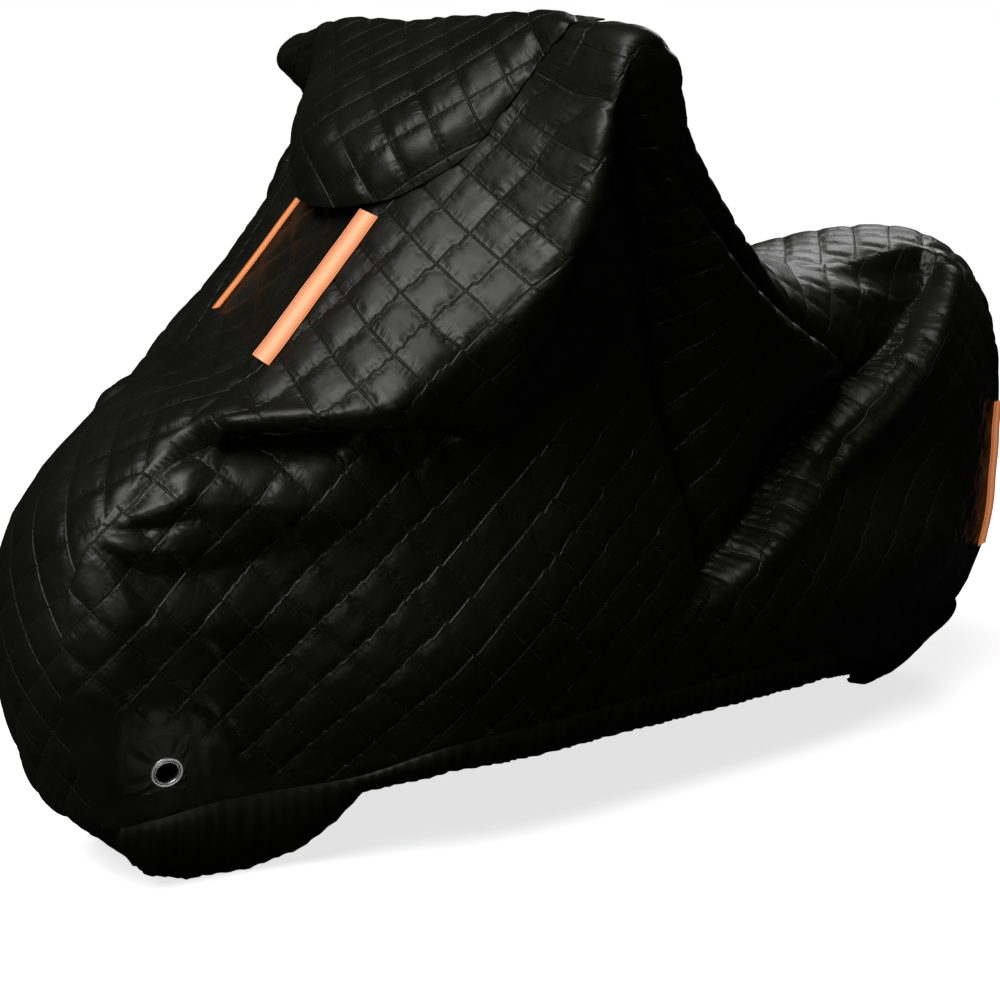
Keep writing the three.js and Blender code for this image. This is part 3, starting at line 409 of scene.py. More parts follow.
def flatten(points, faces, start, upright, rounds=60):
    """The sheet laid flat, with its triangles stretched as little as its shape allows, and with
    what runs uphill turned towards the second axis, as strongly as upright says."""
    a, b, c = (points[faces[:, k]] for k in range(3))
    base = np.linalg.norm(b - a, axis=1)
    ahead = unit(b - a)
    foot = ((c - a) * ahead).sum(1)
    rise = np.linalg.norm(np.cross(ahead, c - a), axis=1)
    zero = np.zeros_like(base)
    flat = np.stack([np.stack([zero, zero], 1), np.stack([base, zero], 1), np.stack([foot, rise], 1)], 1)
    uphill = np.stack([ahead[:, 2], np.cross(unit(np.cross(b - a, c - a)), ahead)[:, 2]], 1) * upright
    count = len(points)
    pull = np.zeros((count, count))
    sides = []
    for k in range(3):
        here, after = (k + 1) % 3, (k + 2) % 3
        first, second = flat[:, here] - flat[:, k], flat[:, after] - flat[:, k]
        area = np.abs(first[:, 0] * second[:, 1] - first[:, 1] * second[:, 0])
        weight = np.clip((first * second).sum(1) / np.maximum(area, 1e-9), 0.02, 8)
        i, j = faces[:, here], faces[:, after]
        for row, column, sign in ((i, i, 1), (j, j, 1), (i, j, -1), (j, i, -1)):
            np.add.at(pull, (row, column), sign * weight)
        sides.append((i, j, weight, flat[:, here] - flat[:, after]))
    pull[0, 0] += 1
    solved = np.linalg.inv(pull)
    places = start
    for _ in range(rounds):
        cosine, sine = zero, zero
        for i, j, weight, side in sides:
            now = places[i] - places[j]
            cosine = cosine + weight * (side * now).sum(1)
            sine = sine + weight * (side[:, 0] * now[:, 1] - side[:, 1] * now[:, 0])
        size = np.hypot(cosine, sine) + 1e-9
        turn = np.arctan2(sine / size + uphill[:, 0], cosine / size + uphill[:, 1])
        target = np.zeros((count, 2))
        for i, j, weight, side in sides:
            turned = turned_by(side, turn) * weight[:, None]
            np.add.at(target, i, turned)
            np.add.at(target, j, -turned)
        places = solved @ target
    return places


def turned_by(vectors, angle):
    cosine, sine = np.cos(angle), np.sin(angle)
    return np.stack([vectors[:, 0] * cosine - vectors[:, 1] * sine,
                     vectors[:, 0] * sine + vectors[:, 1] * cosine], 1)


def carried_on(knots, values, at):
    """Straight interpolation that goes on past both ends."""
    result = np.stack([np.interp(at, knots, column) for column in values.T], -1)
    for end, inner, past in ((0, 2, at < knots[0]), (-1, -3, at > knots[-1])):
        slope = (values[inner] - values[end]) / (knots[inner] - knots[end])
        result[past] += (at[past] - knots[end])[:, None] * slope
    return result


def lay_quilting(sheet, coarse, ends, turn, upright):
    """Gives each point its place in the quilting, from a coarse sheet laid flat. The line
    between two of its nodes lies level, and the stitches run at an angle to it."""
    start = coarse.grid * HALF_DIAMOND
    a, b, c = (coarse.points[coarse.faces[:, k]] for k in range(3))
    u, v, w = (start[coarse.faces[:, k]] for k in range(3))
    handed = np.sign(((v - u)[:, 0] * (w - u)[:, 1] - (v - u)[:, 1] * (w - u)[:, 0]).sum())
    flat = flatten(coarse.points, coarse.faces, start * (handed, 1), upright) * (handed, 1)
    ahead = flat[ends[1]] - flat[ends[0]]
    angle = -math.atan2(ahead[1], ahead[0]) - math.radians(turn)
    flat = turned_by(flat - flat[ends[0]], np.full(len(flat), angle)) / DIAMOND
    rows = np.arange(min(c[0] for c in coarse.columns) - 1, max(c[1] for c in coarse.columns) + 2)
    table = []
    for low, high, first in coarse.columns:
        nodes = slice(first, first + high - low + 1)
        table.append(carried_on(coarse.grid[nodes, 1], flat[nodes], rows).ravel())
    knots = np.arange(len(table))
    sheet.quilt = np.empty((len(sheet.points), 2))
    for j, (low, high, first) in enumerate(sheet.columns):
        nodes = slice(first, first + high - low + 1)
        here = smooth_rows(knots, table, j / FINE).reshape(-1, 2)
        sheet.quilt[nodes] = smooth_rows(rows, here, sheet.grid[nodes, 1])


def fold_profile(distance, spread, crisp):
    soft = np.exp(-((distance / spread) ** 2))
    pinched = np.exp(-np.sqrt((1.6 * distance / spread) ** 2 + 0.04) + 0.2)
    return soft * (1 - crisp) + pinched * crisp


def fold_shift(points, folds):
    """How far the folds push each point outwards, seen from the side."""
    shift = np.zeros(len(points))
    u = np.linspace(0, 1, FOLD_PLACES)[:, None]
    for start, bend, end, height, spread, crisp in folds.values():
        start, bend, end = (np.array(p, float) for p in (start, bend, end))
        line = (1 - u) ** 2 * start + 2 * u * (1 - u) * bend + u**2 * end
        gap = np.linalg.norm(points[:, None, [0, 2]] - line[None], axis=2)
        nearest = gap.argmin(1)
        fade = np.sqrt(np.sin(np.pi * (FOLD_ENDS + (1 - 2 * FOLD_ENDS) * u[nearest, 0])))
        ahead, aside = np.gradient(line, axis=0)[nearest], points[:, [0, 2]] - line[nearest]
        on_left = ahead[:, 0] * aside[:, 1] > ahead[:, 1] * aside[:, 0]
        shift += height * fade * fold_profile(gap.min(1), np.where(on_left, *spread), crisp)
    return shift


def from_stitches(t):
    """How far the padding has risen, between stitch lines at whole numbers."""
    return 1 - np.exp(-((np.abs(t - np.round(t)) * DIAMOND / VALLEY) ** 2))


def padding(sheet, seed):
    """The height of the quilted padding at each point."""
    p, q = sheet.quilt.T
    lean = sum((2 * (t - np.floor(t)) - 1) * Noise(seed + k).cell(p, q) for k, t in ((1, p), (2, q)))
    full = 1 + UNEVEN["height"] * Noise(seed).cell(p, q)
    crumple = sum(share * Noise(seed + k).at(along * p, across * q) for k, along, across, share in CRUMPLES)
    height = PUFF * full + UNEVEN["lean"] * lean + UNEVEN["crumple"] * crumple
    return height * from_stitches(p) * from_stitches(q)


def rolled_in(sheet, height):
    """A height that fades towards the edges of the sheet, which lie a little lower."""
    return height * smooth_step(sheet.rim / EDGE_FADE) - ROLL * (sheet.rim < 1)


def fold(sheet, folds, seed):
    """Gives a sheet its folds. Its edges stay where they are."""
    near_rim = smooth_step(sheet.rim / FOLD_FADE)
    sway = Noise(seed + 9).at(sheet.grid[:, 0] / 3.1, sheet.grid[:, 1] / 3.7)
    shift = fold_shift(sheet.points, folds) + UNEVEN["sway"] * sway
    sheet.points = sheet.points + sheet.normals(sheet.points) * (shift * near_rim)[:, None]


def dress(curves, folds, outward, seed, turn, upright=0, is_open=None):
    """A quilted sheet with its folds, from the curves of its columns."""
    sheet, coarse = lattice_sheet(curves, FINE, is_open), lattice_sheet(curves[::FINE], 1)
    for one in (sheet, coarse):
        one.face_along(outward)
        fold(one, folds, seed)
    ends = [coarse.node(round(share * (len(coarse.columns) - 1)), 0) for share in QUILT_ENDS]
    lay_quilting(sheet, coarse, ends, turn, upright)
    return sheet


def join_seams(sheets):
    """Finds the outer and the inner face of each sheet. Sheets that meet share a direction."""
    normals = [sheet.normals(sheet.points) for sheet in sheets]
    rims = [np.unique(sheet.edges()) for sheet in sheets]
    places = np.concatenate([np.round(sheet.points[rim] / SEAM_GRAIN) for sheet, rim in zip(sheets, rims)])
    _, shared = np.unique(places, axis=0, return_inverse=True)
    shared = shared.ravel()
    total = np.zeros((shared.max() + 1, 3))
    np.add.at(total, shared, np.concatenate([n[rim] for n, rim in zip(normals, rims)]))
    total = unit(total)[shared]
    first = 0
    for sheet, across, rim in zip(sheets, normals, rims):
        across[rim] = total[first:first + len(rim)]
        first += len(rim)
        sheet.outer = sheet.points + across * sheet.height[:, None]
        sheet.inner = sheet.points - across * CLOTH


def closed_mesh(sheet):
    """Both faces of a sheet and its cut edge."""
    edges = sheet.edges()
    count = len(sheet.points)
    rim = np.concatenate([np.stack([edges[:, 1], edges[:, 0], edges[:, 0] + count], 1),
                          np.stack([edges[:, 1], edges[:, 0] + count, edges[:, 1] + count], 1)])
    faces = np.concatenate([sheet.faces, sheet.faces[:, [0, 2, 1]] + count, rim])
    return np.concatenate([sheet.outer, sheet.inner]), faces


def build_object(name, points, faces, uv=None, sharp=None, sewn=None):
    """A mesh object from arrays, with a quilting map, sharp edges and where it is sewn."""
    used = np.unique(faces)
    renumber = np.full(len(points), -1)
    renumber[used] = np.arange(len(used))
    faces = renumber[faces]
    mesh = bpy.data.meshes.new(name)
    mesh.from_pydata(metres(points[used]).tolist(), [], faces.tolist())
    mesh.validate()
    mesh.shade_smooth()
    if uv is not None:
        layer = mesh.uv_layers.new(name="quilt")
        layer.data.foreach_set("uv", uv[used][faces.ravel()].astype(np.float32).ravel())
    if sewn is not None:
        attribute = mesh.attributes.new("sewn", "FLOAT", "POINT")
        attribute.data.foreach_set("value", sewn[used].astype(np.float32))
    if sharp is not None:
        sharp = renumber[sharp]
        sharp = np.sort(sharp[(sharp >= 0).all(1)], axis=1)
        ends = np.empty(len(mesh.edges) * 2, np.int32)
        mesh.edges.foreach_get("vertices", ends)
        ends = np.sort(ends.reshape(-1, 2).astype(np.int64), axis=1)
        known = np.isin(ends[:, 0] * len(used) + ends[:, 1], sharp[:, 0] * len(used) + sharp[:, 1])
        attribute = mesh.attributes.new("sharp_edge", "BOOLEAN", "EDGE")
        attribute.data.foreach_set("value", known)
    obj = bpy.data.objects.new(name, mesh)
    bpy.context.scene.collection.objects.link(obj)
    return obj


def sheet_object(name, sheet):
    points, faces = closed_mesh(sheet)
    rims = sheet.edges()
    count = len(sheet.points)
    sewn = getattr(sheet, "sewn", np.ones(count))
    return build_object(name, points, faces, np.concatenate([sheet.quilt] * 2),
                        np.concatenate([rims, rims + count]), np.concatenate([sewn] * 2))


# The side panels
def side_curve(s, side):
    knots = column_of(SECTIONS, SECTION_COLUMNS, "s")
    rows = [[row[1]] + [value for level in row[2:] for value in level] for row in SECTIONS]
    values = smooth_rows(knots, rows, s)[0]
    bow, levels = values[0], values[1:].reshape(-1, 2).copy()
    if side > 0:
        for name in ASKEW_COLUMNS[1:]:
            level, way = name.split("_")
            shift = look_up(RIGHT_ASKEW, ASKEW_COLUMNS, "s", name, s)
            levels[LEVELS.index(level), 0 if way == "in" else 1] += shift if way == "up" else -shift
    curve = Curve(levels)
    bottom, top = levels[0, 1], levels[-1, 1]
    width, z = curve.points.T
    out = (2 * z - bottom - top) / (top - bottom)
    curve.points = np.stack([s + bow * out * out, side * width, z], 1)
    return curve, curve.knots[1]


def column_positions():
    """Places of the fine columns, evenly spaced along the belly."""
    belly = Curve([(row[0], row[3][0]) for row in SECTIONS], 2000)
    count = round(belly.length[-1] / HALF_DIAMOND)
    return belly.at(belly.length[-1] * np.arange(count * FINE + 1) / (count * FINE))[:, 0]


positions = column_positions()
eyelet_column = int(np.argmax(positions[::FINE] >= EYELET_AT["s"]))


def near_eyelet(j, i):
    column, row = j // FINE, np.floor_divide(i, FINE)
    beside = eyelet_column - 1 <= column <= eyelet_column
    return beside & (row >= EYELET_AT["row"] - 1) & (row <= EYELET_AT["row"])


def side_panel(side, folds, seed):
    sheet = dress([side_curve(s, side) for s in positions], folds, (0, side, 0), seed,
                  QUILT_TURN["side"], UPRIGHT, near_eyelet)
    sheet.eyelet = sheet.points[sheet.node(eyelet_column * FINE, EYELET_AT["row"] * FINE)].copy()
    aside = np.maximum(np.abs(sheet.grid - (eyelet_column, EYELET_AT["row"])) - 1, 0)
    beside = smooth_step(np.hypot(*aside.T) * HALF_DIAMOND / PATCH["fade"])
    x, _, z = sheet.points.T
    above = z - look_up(PLAIN, PLAIN_COLUMNS, "s", "top", x)
    sheet.sewn = np.where(x < PLAIN[-1][0], smooth_step(above / PLAIN_FADE), 1) * beside
    wrinkles = UNEVEN["wrinkle"] * Noise(seed + 7).at(x / 9 + z / 60, z / 34) * (1 - sheet.sewn)
    sheet.height = rolled_in(sheet, padding(sheet, seed) * sheet.sewn + wrinkles)
    return sheet


def seam_nodes(sheet):
    """Points along the seam to the centre panel, from the front hem to the rear hem."""
    last = len(sheet.columns) - 1
    lowest, highest, _ = zip(*sheet.columns)
    nodes = [sheet.node(j, lowest[j]) for j in range(SEAM_COLUMNS["front"] * FINE, 0, -1)]
    nodes += [sheet.node(0, i) for i in range(lowest[0], highest[0])]
    nodes += [sheet.node(j, highest[j]) for j in range(last + 1)]
    nodes += [sheet.node(last, i) for i in range(highest[last] - 1, lowest[last] - 1, -1)]
    nodes += [sheet.node(j, lowest[j]) for j in range(last - 1, last - SEAM_COLUMNS["rear"] * FINE - 1, -1)]
    return sheet.points[nodes]


def hem_nodes(sheet):
    last = len(sheet.columns) - SEAM_COLUMNS["rear"] * FINE
    nodes = [sheet.node(j, sheet.columns[j][0]) for j in range(SEAM_COLUMNS["front"] * FINE, last)]
    return sheet.points[nodes]


class SeamPath:
    """Both seams as one smooth path, with places across it from -1 on the left seam to 1."""

    STEP = 8

    def __init__(self, left_nodes, right_nodes):
        gaps = np.linalg.norm(np.diff(left_nodes, axis=0), axis=1)
        self.knots = np.concatenate([[0], np.cumsum(gaps)])
        self.rows = np.concatenate([left_nodes, right_nodes], axis=1)
        self.length = self.knots[-1]

    def at(self, t, across):
        both = np.stack([np.interp(t, self.knots, c) for c in self.rows.T], axis=-1)
        share = (np.asarray(across, float)[..., None] + 1) / 2
        return both[..., :3] * (1 - share) + both[..., 3:] * share

    def along(self, t, across):
        return unit(self.at(t + self.STEP, across) - self.at(t - self.STEP, across))

    def up(self, t, across):
        along = self.along(t, across)
        return unit(np.stack([-along[..., 2], np.zeros(along.shape[:-1]), along[..., 0]], axis=-1))


# The centre panel
def centre_panel(path, seed):
    half = CENTRE_CELLS * FINE // 2
    rows = round(path.length / HALF_DIAMOND) * FINE
    r, k = np.meshgrid(np.arange(rows + 1), np.arange(-half, half + 1), indexing="ij")
    t, across = path.length * r / rows, k / half
    rise = look_up(CENTRE_RISE, RISE_COLUMNS, "at", "rise", t / path.length) * (1 - across**2)
    points = path.at(t, across) + path.up(t, across) * rise[..., None]
    step = HALF_DIAMOND / FINE
    rim = np.minimum(np.minimum(r, rows - r), half - np.abs(k)) * step
    grid = np.stack([k + half, r], -1) / FINE
    sheet = Sheet()
    sheet.add(points.reshape(-1, 3), grid.reshape(-1, 2), rim.ravel())
    width = 2 * half + 1
    sheet.join_grid(rows + 1, width, True)
    sheet.front_hem, sheet.rear_hem = sheet.points[1:width - 1], sheet.points[-width + 1:-1]
    sheet.face_along((0, 0, 1))
    fold(sheet, {}, seed)
    placed = sheet.points.reshape(rows + 1, width, 3)
    walked = np.cumsum(np.linalg.norm(np.diff(placed, axis=1), axis=2), axis=1)
    walked = np.concatenate([np.zeros((rows + 1, 1)), walked], axis=1)
    aside = ((walked - walked[:, half:half + 1]) / HALF_DIAMOND).ravel()
    sheet.quilt = np.stack([aside + sheet.grid[:, 1], aside - sheet.grid[:, 1]], 1) / 2
    sheet.height = rolled_in(sheet, padding(sheet, seed))
    return sheet


# The hood over the front of the handlebar
def height_under_hood(s, y):
    curve, _ = side_curve(s, -1 if y < 0 else 1)
    width, z = np.abs(curve.points[:, 1]), curve.points[:, 2]
    wide = np.nonzero(width >= abs(y))[0]
    return z[wide[-1]] if len(wide) else z[-1]


def hood_panel(seed):
    knots = column_of(HOOD, HOOD_COLUMNS, "y")
    rows = [[*brow, *lip] for _, brow, lip in HOOD]
    count = round((knots[-1] - knots[0]) / HALF_DIAMOND)
    curves = []
    for y in np.linspace(knots[0], knots[-1], count * FINE + 1):
        brow_s, brow_z, lip_s, lip_z = smooth_rows(knots, rows, y)[0]
        slope = [(s, y, max(z, height_under_hood(s, y) + HOOD_LIFT["slope"]))
                 for s, z in ((lip_s, lip_z), (brow_s, brow_z))]
        top = [(s, y, height_under_hood(s, y) + lift)
               for s, lift in ((HOOD_FRONT, HOOD_LIFT["front"]), (HOOD_TOP, HOOD_LIFT["top"]))]
        curve = Curve(slope + top)
        curves.append((curve, curve.length[-1]))
    sheet = dress(curves, {}, (-0.5, 0, 1), seed, QUILT_TURN["hood"])
    sheet.height = rolled_in(sheet, padding(sheet, seed))
    return sheet


# The gathered elastic band along the lower edge
def hem_band(loop, seed):
    count = len(loop)
    along = np.roll(loop, -FINE, axis=0) - np.roll(loop, FINE, axis=0)
    along[:, 2] = 0
    along = unit(along)
    out = np.stack([along[:, 1], -along[:, 0], np.zeros(count)], 1)
    if (out * (loop - loop.mean(0))).sum() < 0:
        out = -out
    bottom, curl = (look_up(BAND, BAND_COLUMNS, "s", name, loop[:, 0]) for name in ("bottom", "curl"))
    walked = np.concatenate([[0], np.cumsum(np.linalg.norm(np.diff(loop, axis=0), axis=1))])
    drift = DRIFT["far"] * Noise(seed).at(walked / DRIFT["pitch"], np.zeros(count))
    gathers = np.sin(2 * np.pi * (walked + drift) / GATHERS["pitch"])
    broad = np.sin(2 * np.pi * (walked + 3 * drift) / BROAD["pitch"])
    sheet = Sheet()
    for step in range(BAND_STEPS + 1):
        down = step / BAND_STEPS
        sag = BAND_SAG * math.sin(math.pi * down) * math.exp(-down)
        opened = smooth_step(down / GATHERS["open"])
        pleat = (GATHERS["height"] + GATHERS["growth"] * down) * gathers * opened
        pleat += BROAD["height"] * broad * down
        q = loop + out * (sag + pleat - curl * down**2)[:, None]
        q[:, 2] = loop[:, 2] * (1 - down) + bottom * down
        grid = np.stack([walked / HALF_DIAMOND, np.full(count, down)], 1)
        sheet.add(q, grid, np.full(count, HALF_DIAMOND))
    sheet.join_rings(count)
    sheet.face_along(np.tile(out, (BAND_STEPS + 1, 1)))
    sheet.quilt = sheet.grid
    down = sheet.grid[:, 1]
    sheet.height = ELASTIC["height"] * np.exp(-(((down - ELASTIC["at"]) / ELASTIC["spread"]) ** 2))
    sheet.height -= ROLL * (down == 0)
    return sheet


# The plain cloth around each eyelet
def eyelet_patch(panel, side):
    j0, i0 = eyelet_column * FINE, EYELET_AT["row"] * FINE
    n = np.arange(-FINE, FINE)
    ring = ([(k, -FINE) for k in n] + [(FINE, k) for k in n]
            + [(-k, FINE) for k in n] + [(-FINE, -k) for k in n])
    rim = panel.points[[panel.node(j0 + j, i0 + i) for j, i in ring]]
    coarse = rim[::FINE]
    normal = np.cross(coarse - panel.eyelet, np.roll(coarse, -1, axis=0) - panel.eyelet).sum(0)
    normal = unit(normal) * np.sign(normal[1]) * side
    along = unit(np.cross((0, 0, 1), normal))
    up = np.cross(normal, along)
    centre = coarse.mean(0) + along * np.sign(along[0]) * EYELET_AT["along"] + up * EYELET_AT["up"]
    turn = np.arctan2((rim - centre) @ up, (rim - centre) @ along)
    spokes = np.cos(turn)[:, None] * along + np.sin(turn)[:, None] * up
    pucker = np.sin(9 * turn) + 0.6 * np.sin(14 * turn + 1)
    start = centre + spokes * PATCH["flat"]
    rings = [centre + spokes * radius for radius in np.linspace(PATCH["hole"], PATCH["flat"], 3)]
    for share in np.arange(1, PATCH["rings"] + 1) / PATCH["rings"]:
        bulge = normal * (pucker * PATCH["pucker"] * math.sin(math.pi * share))[:, None]
        rings.append(start * (1 - share) + rim * share + bulge)
    sheet = Sheet()
    for ring in rings:
        sheet.add(ring, np.full((len(ring), 2), 0.5), np.full(len(ring), HALF_DIAMOND))
    sheet.join_rings(len(rim))
    sheet.face_along(normal)
    sheet.quilt = sheet.grid
    sheet.height = np.zeros(len(sheet.points))
    return sheet, centre, normal


def eyelet_ring(name, centre, normal):
    """A pressed metal ring, turned about its axis."""
    faces_at = {"front": EYELET["clearance"], "back": -CLOTH - EYELET["clearance"]}
    turns = 2 * np.pi * np.arange(EYELET["sides"]) / EYELET["sides"]
    across = unit(np.cross(normal, (0, 0, 1)))
    spokes = np.cos(turns)[:, None] * across + np.sin(turns)[:, None] * np.cross(normal, across)
    ring = Sheet()
    for radius, wider, face, out in RING + RING[:1]:
        points = centre + spokes * (EYELET[radius] + wider) + normal * (faces_at[face] + out)
        ring.add(points, np.zeros((len(points), 2)), np.zeros(len(points)))
    ring.join_rings(len(turns))
    count = len(ring.points) - len(turns)
    faces = ring.faces % count
    a, b, c = (ring.points[faces[:, k]] - centre for k in range(3))
    if (a * np.cross(b, c)).sum() < 0:
        faces = faces[:, [0, 2, 1]]
    return build_object(name, ring.points[:count], faces)


# The reflective strips along the seams
def seam_distance(path, side, height, rear):
    low, high = (path.length / 2, path.length) if rear else (0, path.length / 2)
    for _ in range(40):
        middle = (low + high) / 2
        above = path.at(middle, side)[2] > height
        if above == rear:
            low = middle
        else:
            high = middle
    return low


def seam_strip(row, path, tree):
    name, side, rear, low, high, beside, lean, _ = row
    ends = sorted(seam_distance(path, side, z, rear) for z in (low, high))
    places = np.linspace(-0.5, 0.5, STRIP["columns"])
    t = np.linspace(*ends, STRIP["steps"] + 1)
    out = unit(path.up(t, side) * lean + np.array([0, side * (1 - lean), 0]))
    across = -side * unit(np.cross(path.along(t, side), out))
    middle = path.at(t, side) + across * beside
    share = np.linspace(0, 1, len(t))[:, None]
    chord = middle[0] * (1 - share) + middle[-1] * share
    middle = middle * (1 - STRIP["straight"]) + chord * STRIP["straight"]
    flat = middle[:, None] + across[:, None] * (places * STRIP["width"])[None, :, None]
    height = np.full(flat.shape[:2], -1.0)
    for index in np.ndindex(height.shape):
        direction = out[index[0]]
        start = Vector(flat[index] + direction * STRIP["reach"])
        hit = tree.ray_cast(start, Vector(-direction), 2 * STRIP["reach"])[0]
        if hit:
            height[index] = (np.array(hit) - flat[index]) @ direction
    highest = height.max(1)
    for _ in range(STRIP["smoothing"]):
        padded = np.pad(highest, 1, mode="edge")
        highest = (padded[:-2] + 2 * padded[1:-1] + padded[2:]) / 4
    highest += np.maximum(height.max(1) - highest, 0).max()
    thickness = STRIP["thickness"] + np.where(np.abs(places) > STRIP["border"], STRIP["raised"], 0.0)
    lower = flat + out[:, None] * (highest + STRIP["lift"])[:, None, None]
    upper = lower + out[:, None] * thickness[None, :, None]
    sheet = Sheet()
    place = np.stack(np.broadcast_arrays(places[None], (t[:, None] - ends[0]) / DIAMOND), -1)
    sheet.add(upper.reshape(-1, 3), place.reshape(-1, 2), np.zeros(height.size))
    sheet.join_grid(*height.shape, False)
    sheet.face_along(np.repeat(out, STRIP["columns"], axis=0))
    sheet.quilt = sheet.grid
    sheet.outer, sheet.inner = sheet.points, lower.reshape(-1, 3)
    return sheet_object(name + "_tape", sheet)


# Materials. The sewing: how far from its line, in mm, the groove, the thread and the puckers begin
# and end, half a stitch and the gap after it, in diamonds, and how many puckers a diamond has
# across the line and along it. The thread is drawn lighter than the cloth: a painted highlight.
SEWING = {"groove": (0.6, 2.4), "thread_and_highlight": (0.3, 0.75), "stitch": 0.027, "gap": 0.006,
          "puckers": (1.8, 6.5), "pucker starts": (0.2, 4.0), "pucker fades": (4.0, 20.0)}


class Nodes:
    """A small helper that adds shader nodes and joins them."""

    def __init__(self, name):
        self.material = bpy.data.materials.new(name)
        self.material.use_nodes = True
        self.tree = self.material.node_tree
        self.shader = self.tree.nodes["Principled BSDF"]
        self.place = self.add("ShaderNodeTexCoord").outputs["Object"]

    def add(self, kind, **settings):
        node = self.tree.nodes.new(kind)
        for key, value in settings.items():
            setattr(node, key, value)
        return node

    def put(self, value, socket):
        if isinstance(value, bpy.types.NodeSocket):
            self.tree.links.new(value, socket)
        else:
            socket.default_value = value

    def shade(self, **values):
        """Sets inputs of the shader, or joins them."""
        for name, value in values.items():
            self.put(value, self.shader.inputs[name.replace("_", " ")])

    def math(self, operation, *values):
        node = self.add("ShaderNodeMath", operation=operation)
        for value, socket in zip(values, node.inputs):
            self.put(value, socket)
        return node.outputs[0]

    def ramp(self, value, low, high, bottom=0.0, top=1.0, kind="SMOOTHSTEP"):
        node = self.add("ShaderNodeMapRange", interpolation_type=kind)
        for number, socket in zip((value, low, high, bottom, top), node.inputs):
            self.put(number, socket)
        return node.outputs[0]

    def quilt_map(self):
        """The place along and across the quilting, or the strip."""
        split = self.add("ShaderNodeSeparateXYZ")
        self.put(self.add("ShaderNodeUVMap", uv_map="quilt").outputs[0], split.inputs[0])
        return split.outputs[0], split.outputs[1]

    def stitch_line(self, off_line, along):
        """The groove, the threads and the puckers of the stitch lines at whole numbers."""
        off = self.math("MULTIPLY", self.math("PINGPONG", off_line, 0.5), DIAMOND)
        groove, line, far = (self.math("SUBTRACT", 1.0, self.ramp(off, *SEWING[part]))
                             for part in ("groove", "thread_and_highlight", "pucker fades"))
        dash = self.ramp(self.math("PINGPONG", along, SEWING["stitch"]), 0.0, SEWING["gap"])
        place = self.add("ShaderNodeCombineXYZ")
        for number, value, socket in zip(SEWING["puckers"], (off_line, along), place.inputs):
            self.put(self.math("MULTIPLY", value, number), socket)
        pucker = self.math("SUBTRACT", self.noise(place.outputs[0], 1.0, 1.0), 0.5)
        near = self.math("MULTIPLY", self.ramp(off, *SEWING["pucker starts"]), far)
        return groove, self.math("MULTIPLY", line, dash), self.math("MULTIPLY", pucker, near)

    def mix(self, share, first, second):
        node = self.add("ShaderNodeMix", data_type="RGBA")
        self.put(share, node.inputs[0])
        self.put(first, node.inputs[6])
        self.put(second, node.inputs[7])
        return node.outputs[2]

    def noise(self, vector, scale, detail):
        node = self.add("ShaderNodeTexNoise")
        for value, name in ((vector, "Vector"), (scale, "Scale"), (detail, "Detail")):
            self.put(value, node.inputs[name])
        return node.outputs[0]

    def bump(self, height, distance, strength, under=None):
        node = self.add("ShaderNodeBump")
        for value, name in ((height, "Height"), (distance, "Distance"), (strength, "Strength")):
            self.put(value, node.inputs[name])
        if under is not None:
            self.put(under, node.inputs["Normal"])
        return node.outputs[0]


def cloth_material(name, base, thread_and_highlight, roughness, stitched):
    """Coated satin cloth with a fine weave and, where it is quilted, its sewing, whose threads are drawn
    lighter as a painted highlight.
    """
    nodes = Nodes(name)
    patchy = nodes.noise(nodes.place, 9.0, 4.0)
    colour = nodes.mix(nodes.ramp(patchy, 0.3, 0.75), base, tuple(1.35 * c for c in base[:3]) + (1.0,))
    normal = nodes.bump(nodes.noise(nodes.place, 1400.0, 1.0), 0.0001, 0.35)
    normal = nodes.bump(nodes.noise(nodes.place, 60.0, 3.0), 0.0009, 0.5, normal)
    if stitched:
        share = nodes.add("ShaderNodeAttribute", attribute_name="sewn").outputs["Fac"]
        places = nodes.quilt_map()
        lines = [nodes.stitch_line(*places), nodes.stitch_line(*places[::-1])]
        grooves, threads, puckers = zip(*lines)
        groove, thread_share = (nodes.math("MULTIPLY", nodes.math("MAXIMUM", *pair), share)
                                for pair in (grooves, threads))
        pucker = nodes.math("MULTIPLY", nodes.math("ADD", *puckers), share)
        normal = nodes.bump(pucker, 0.0016, 1.0, normal)
        height = nodes.math("SUBTRACT", nodes.math("MULTIPLY", thread_share, 0.8), groove)
        normal = nodes.bump(height, 0.0009, 0.9, normal)
        # The threads are drawn in a lighter colour: a painted highlight along the stitches.
        colour = nodes.mix(nodes.math("MULTIPLY", thread_share, 0.6), colour, thread_and_highlight)
    worn = nodes.ramp(patchy, 0.3, 0.7, roughness - 0.05, roughness + 0.07, "LINEAR")
    nodes.shade(Base_Color=colour, Roughness=worn, Normal=normal, Specular_IOR_Level=0.36)
    return nodes.material


def strip_material():
    nodes = Nodes("reflective strip")
    aside = nodes.math("ABSOLUTE", nodes.quilt_map()[0])
    # The strip is drawn lighter in its middle: a painted highlight.
    glow = nodes.mix(nodes.ramp(aside, 0.05, 0.36), (0.98, 0.42, 0.2, 1.0), (0.9, 0.22, 0.05, 1.0))
    border = nodes.mix(nodes.ramp(aside, 0.415, 0.43), glow, (0.22, 0.03, 0.004, 1.0))
    colour = nodes.mix(nodes.ramp(aside, 0.455, 0.47), border, (1.0, 0.36, 0.12, 1.0))
    beads = nodes.bump(nodes.noise(nodes.place, 900.0, 1.0), 0.00012, 0.4)
    # The emission makes the strip glow though it is no lamp: painted light.
    nodes.shade(Base_Color=colour, Emission_Color=colour, Emission_Strength=0.42, Roughness=0.42,
                Normal=beads)
    return nodes.material


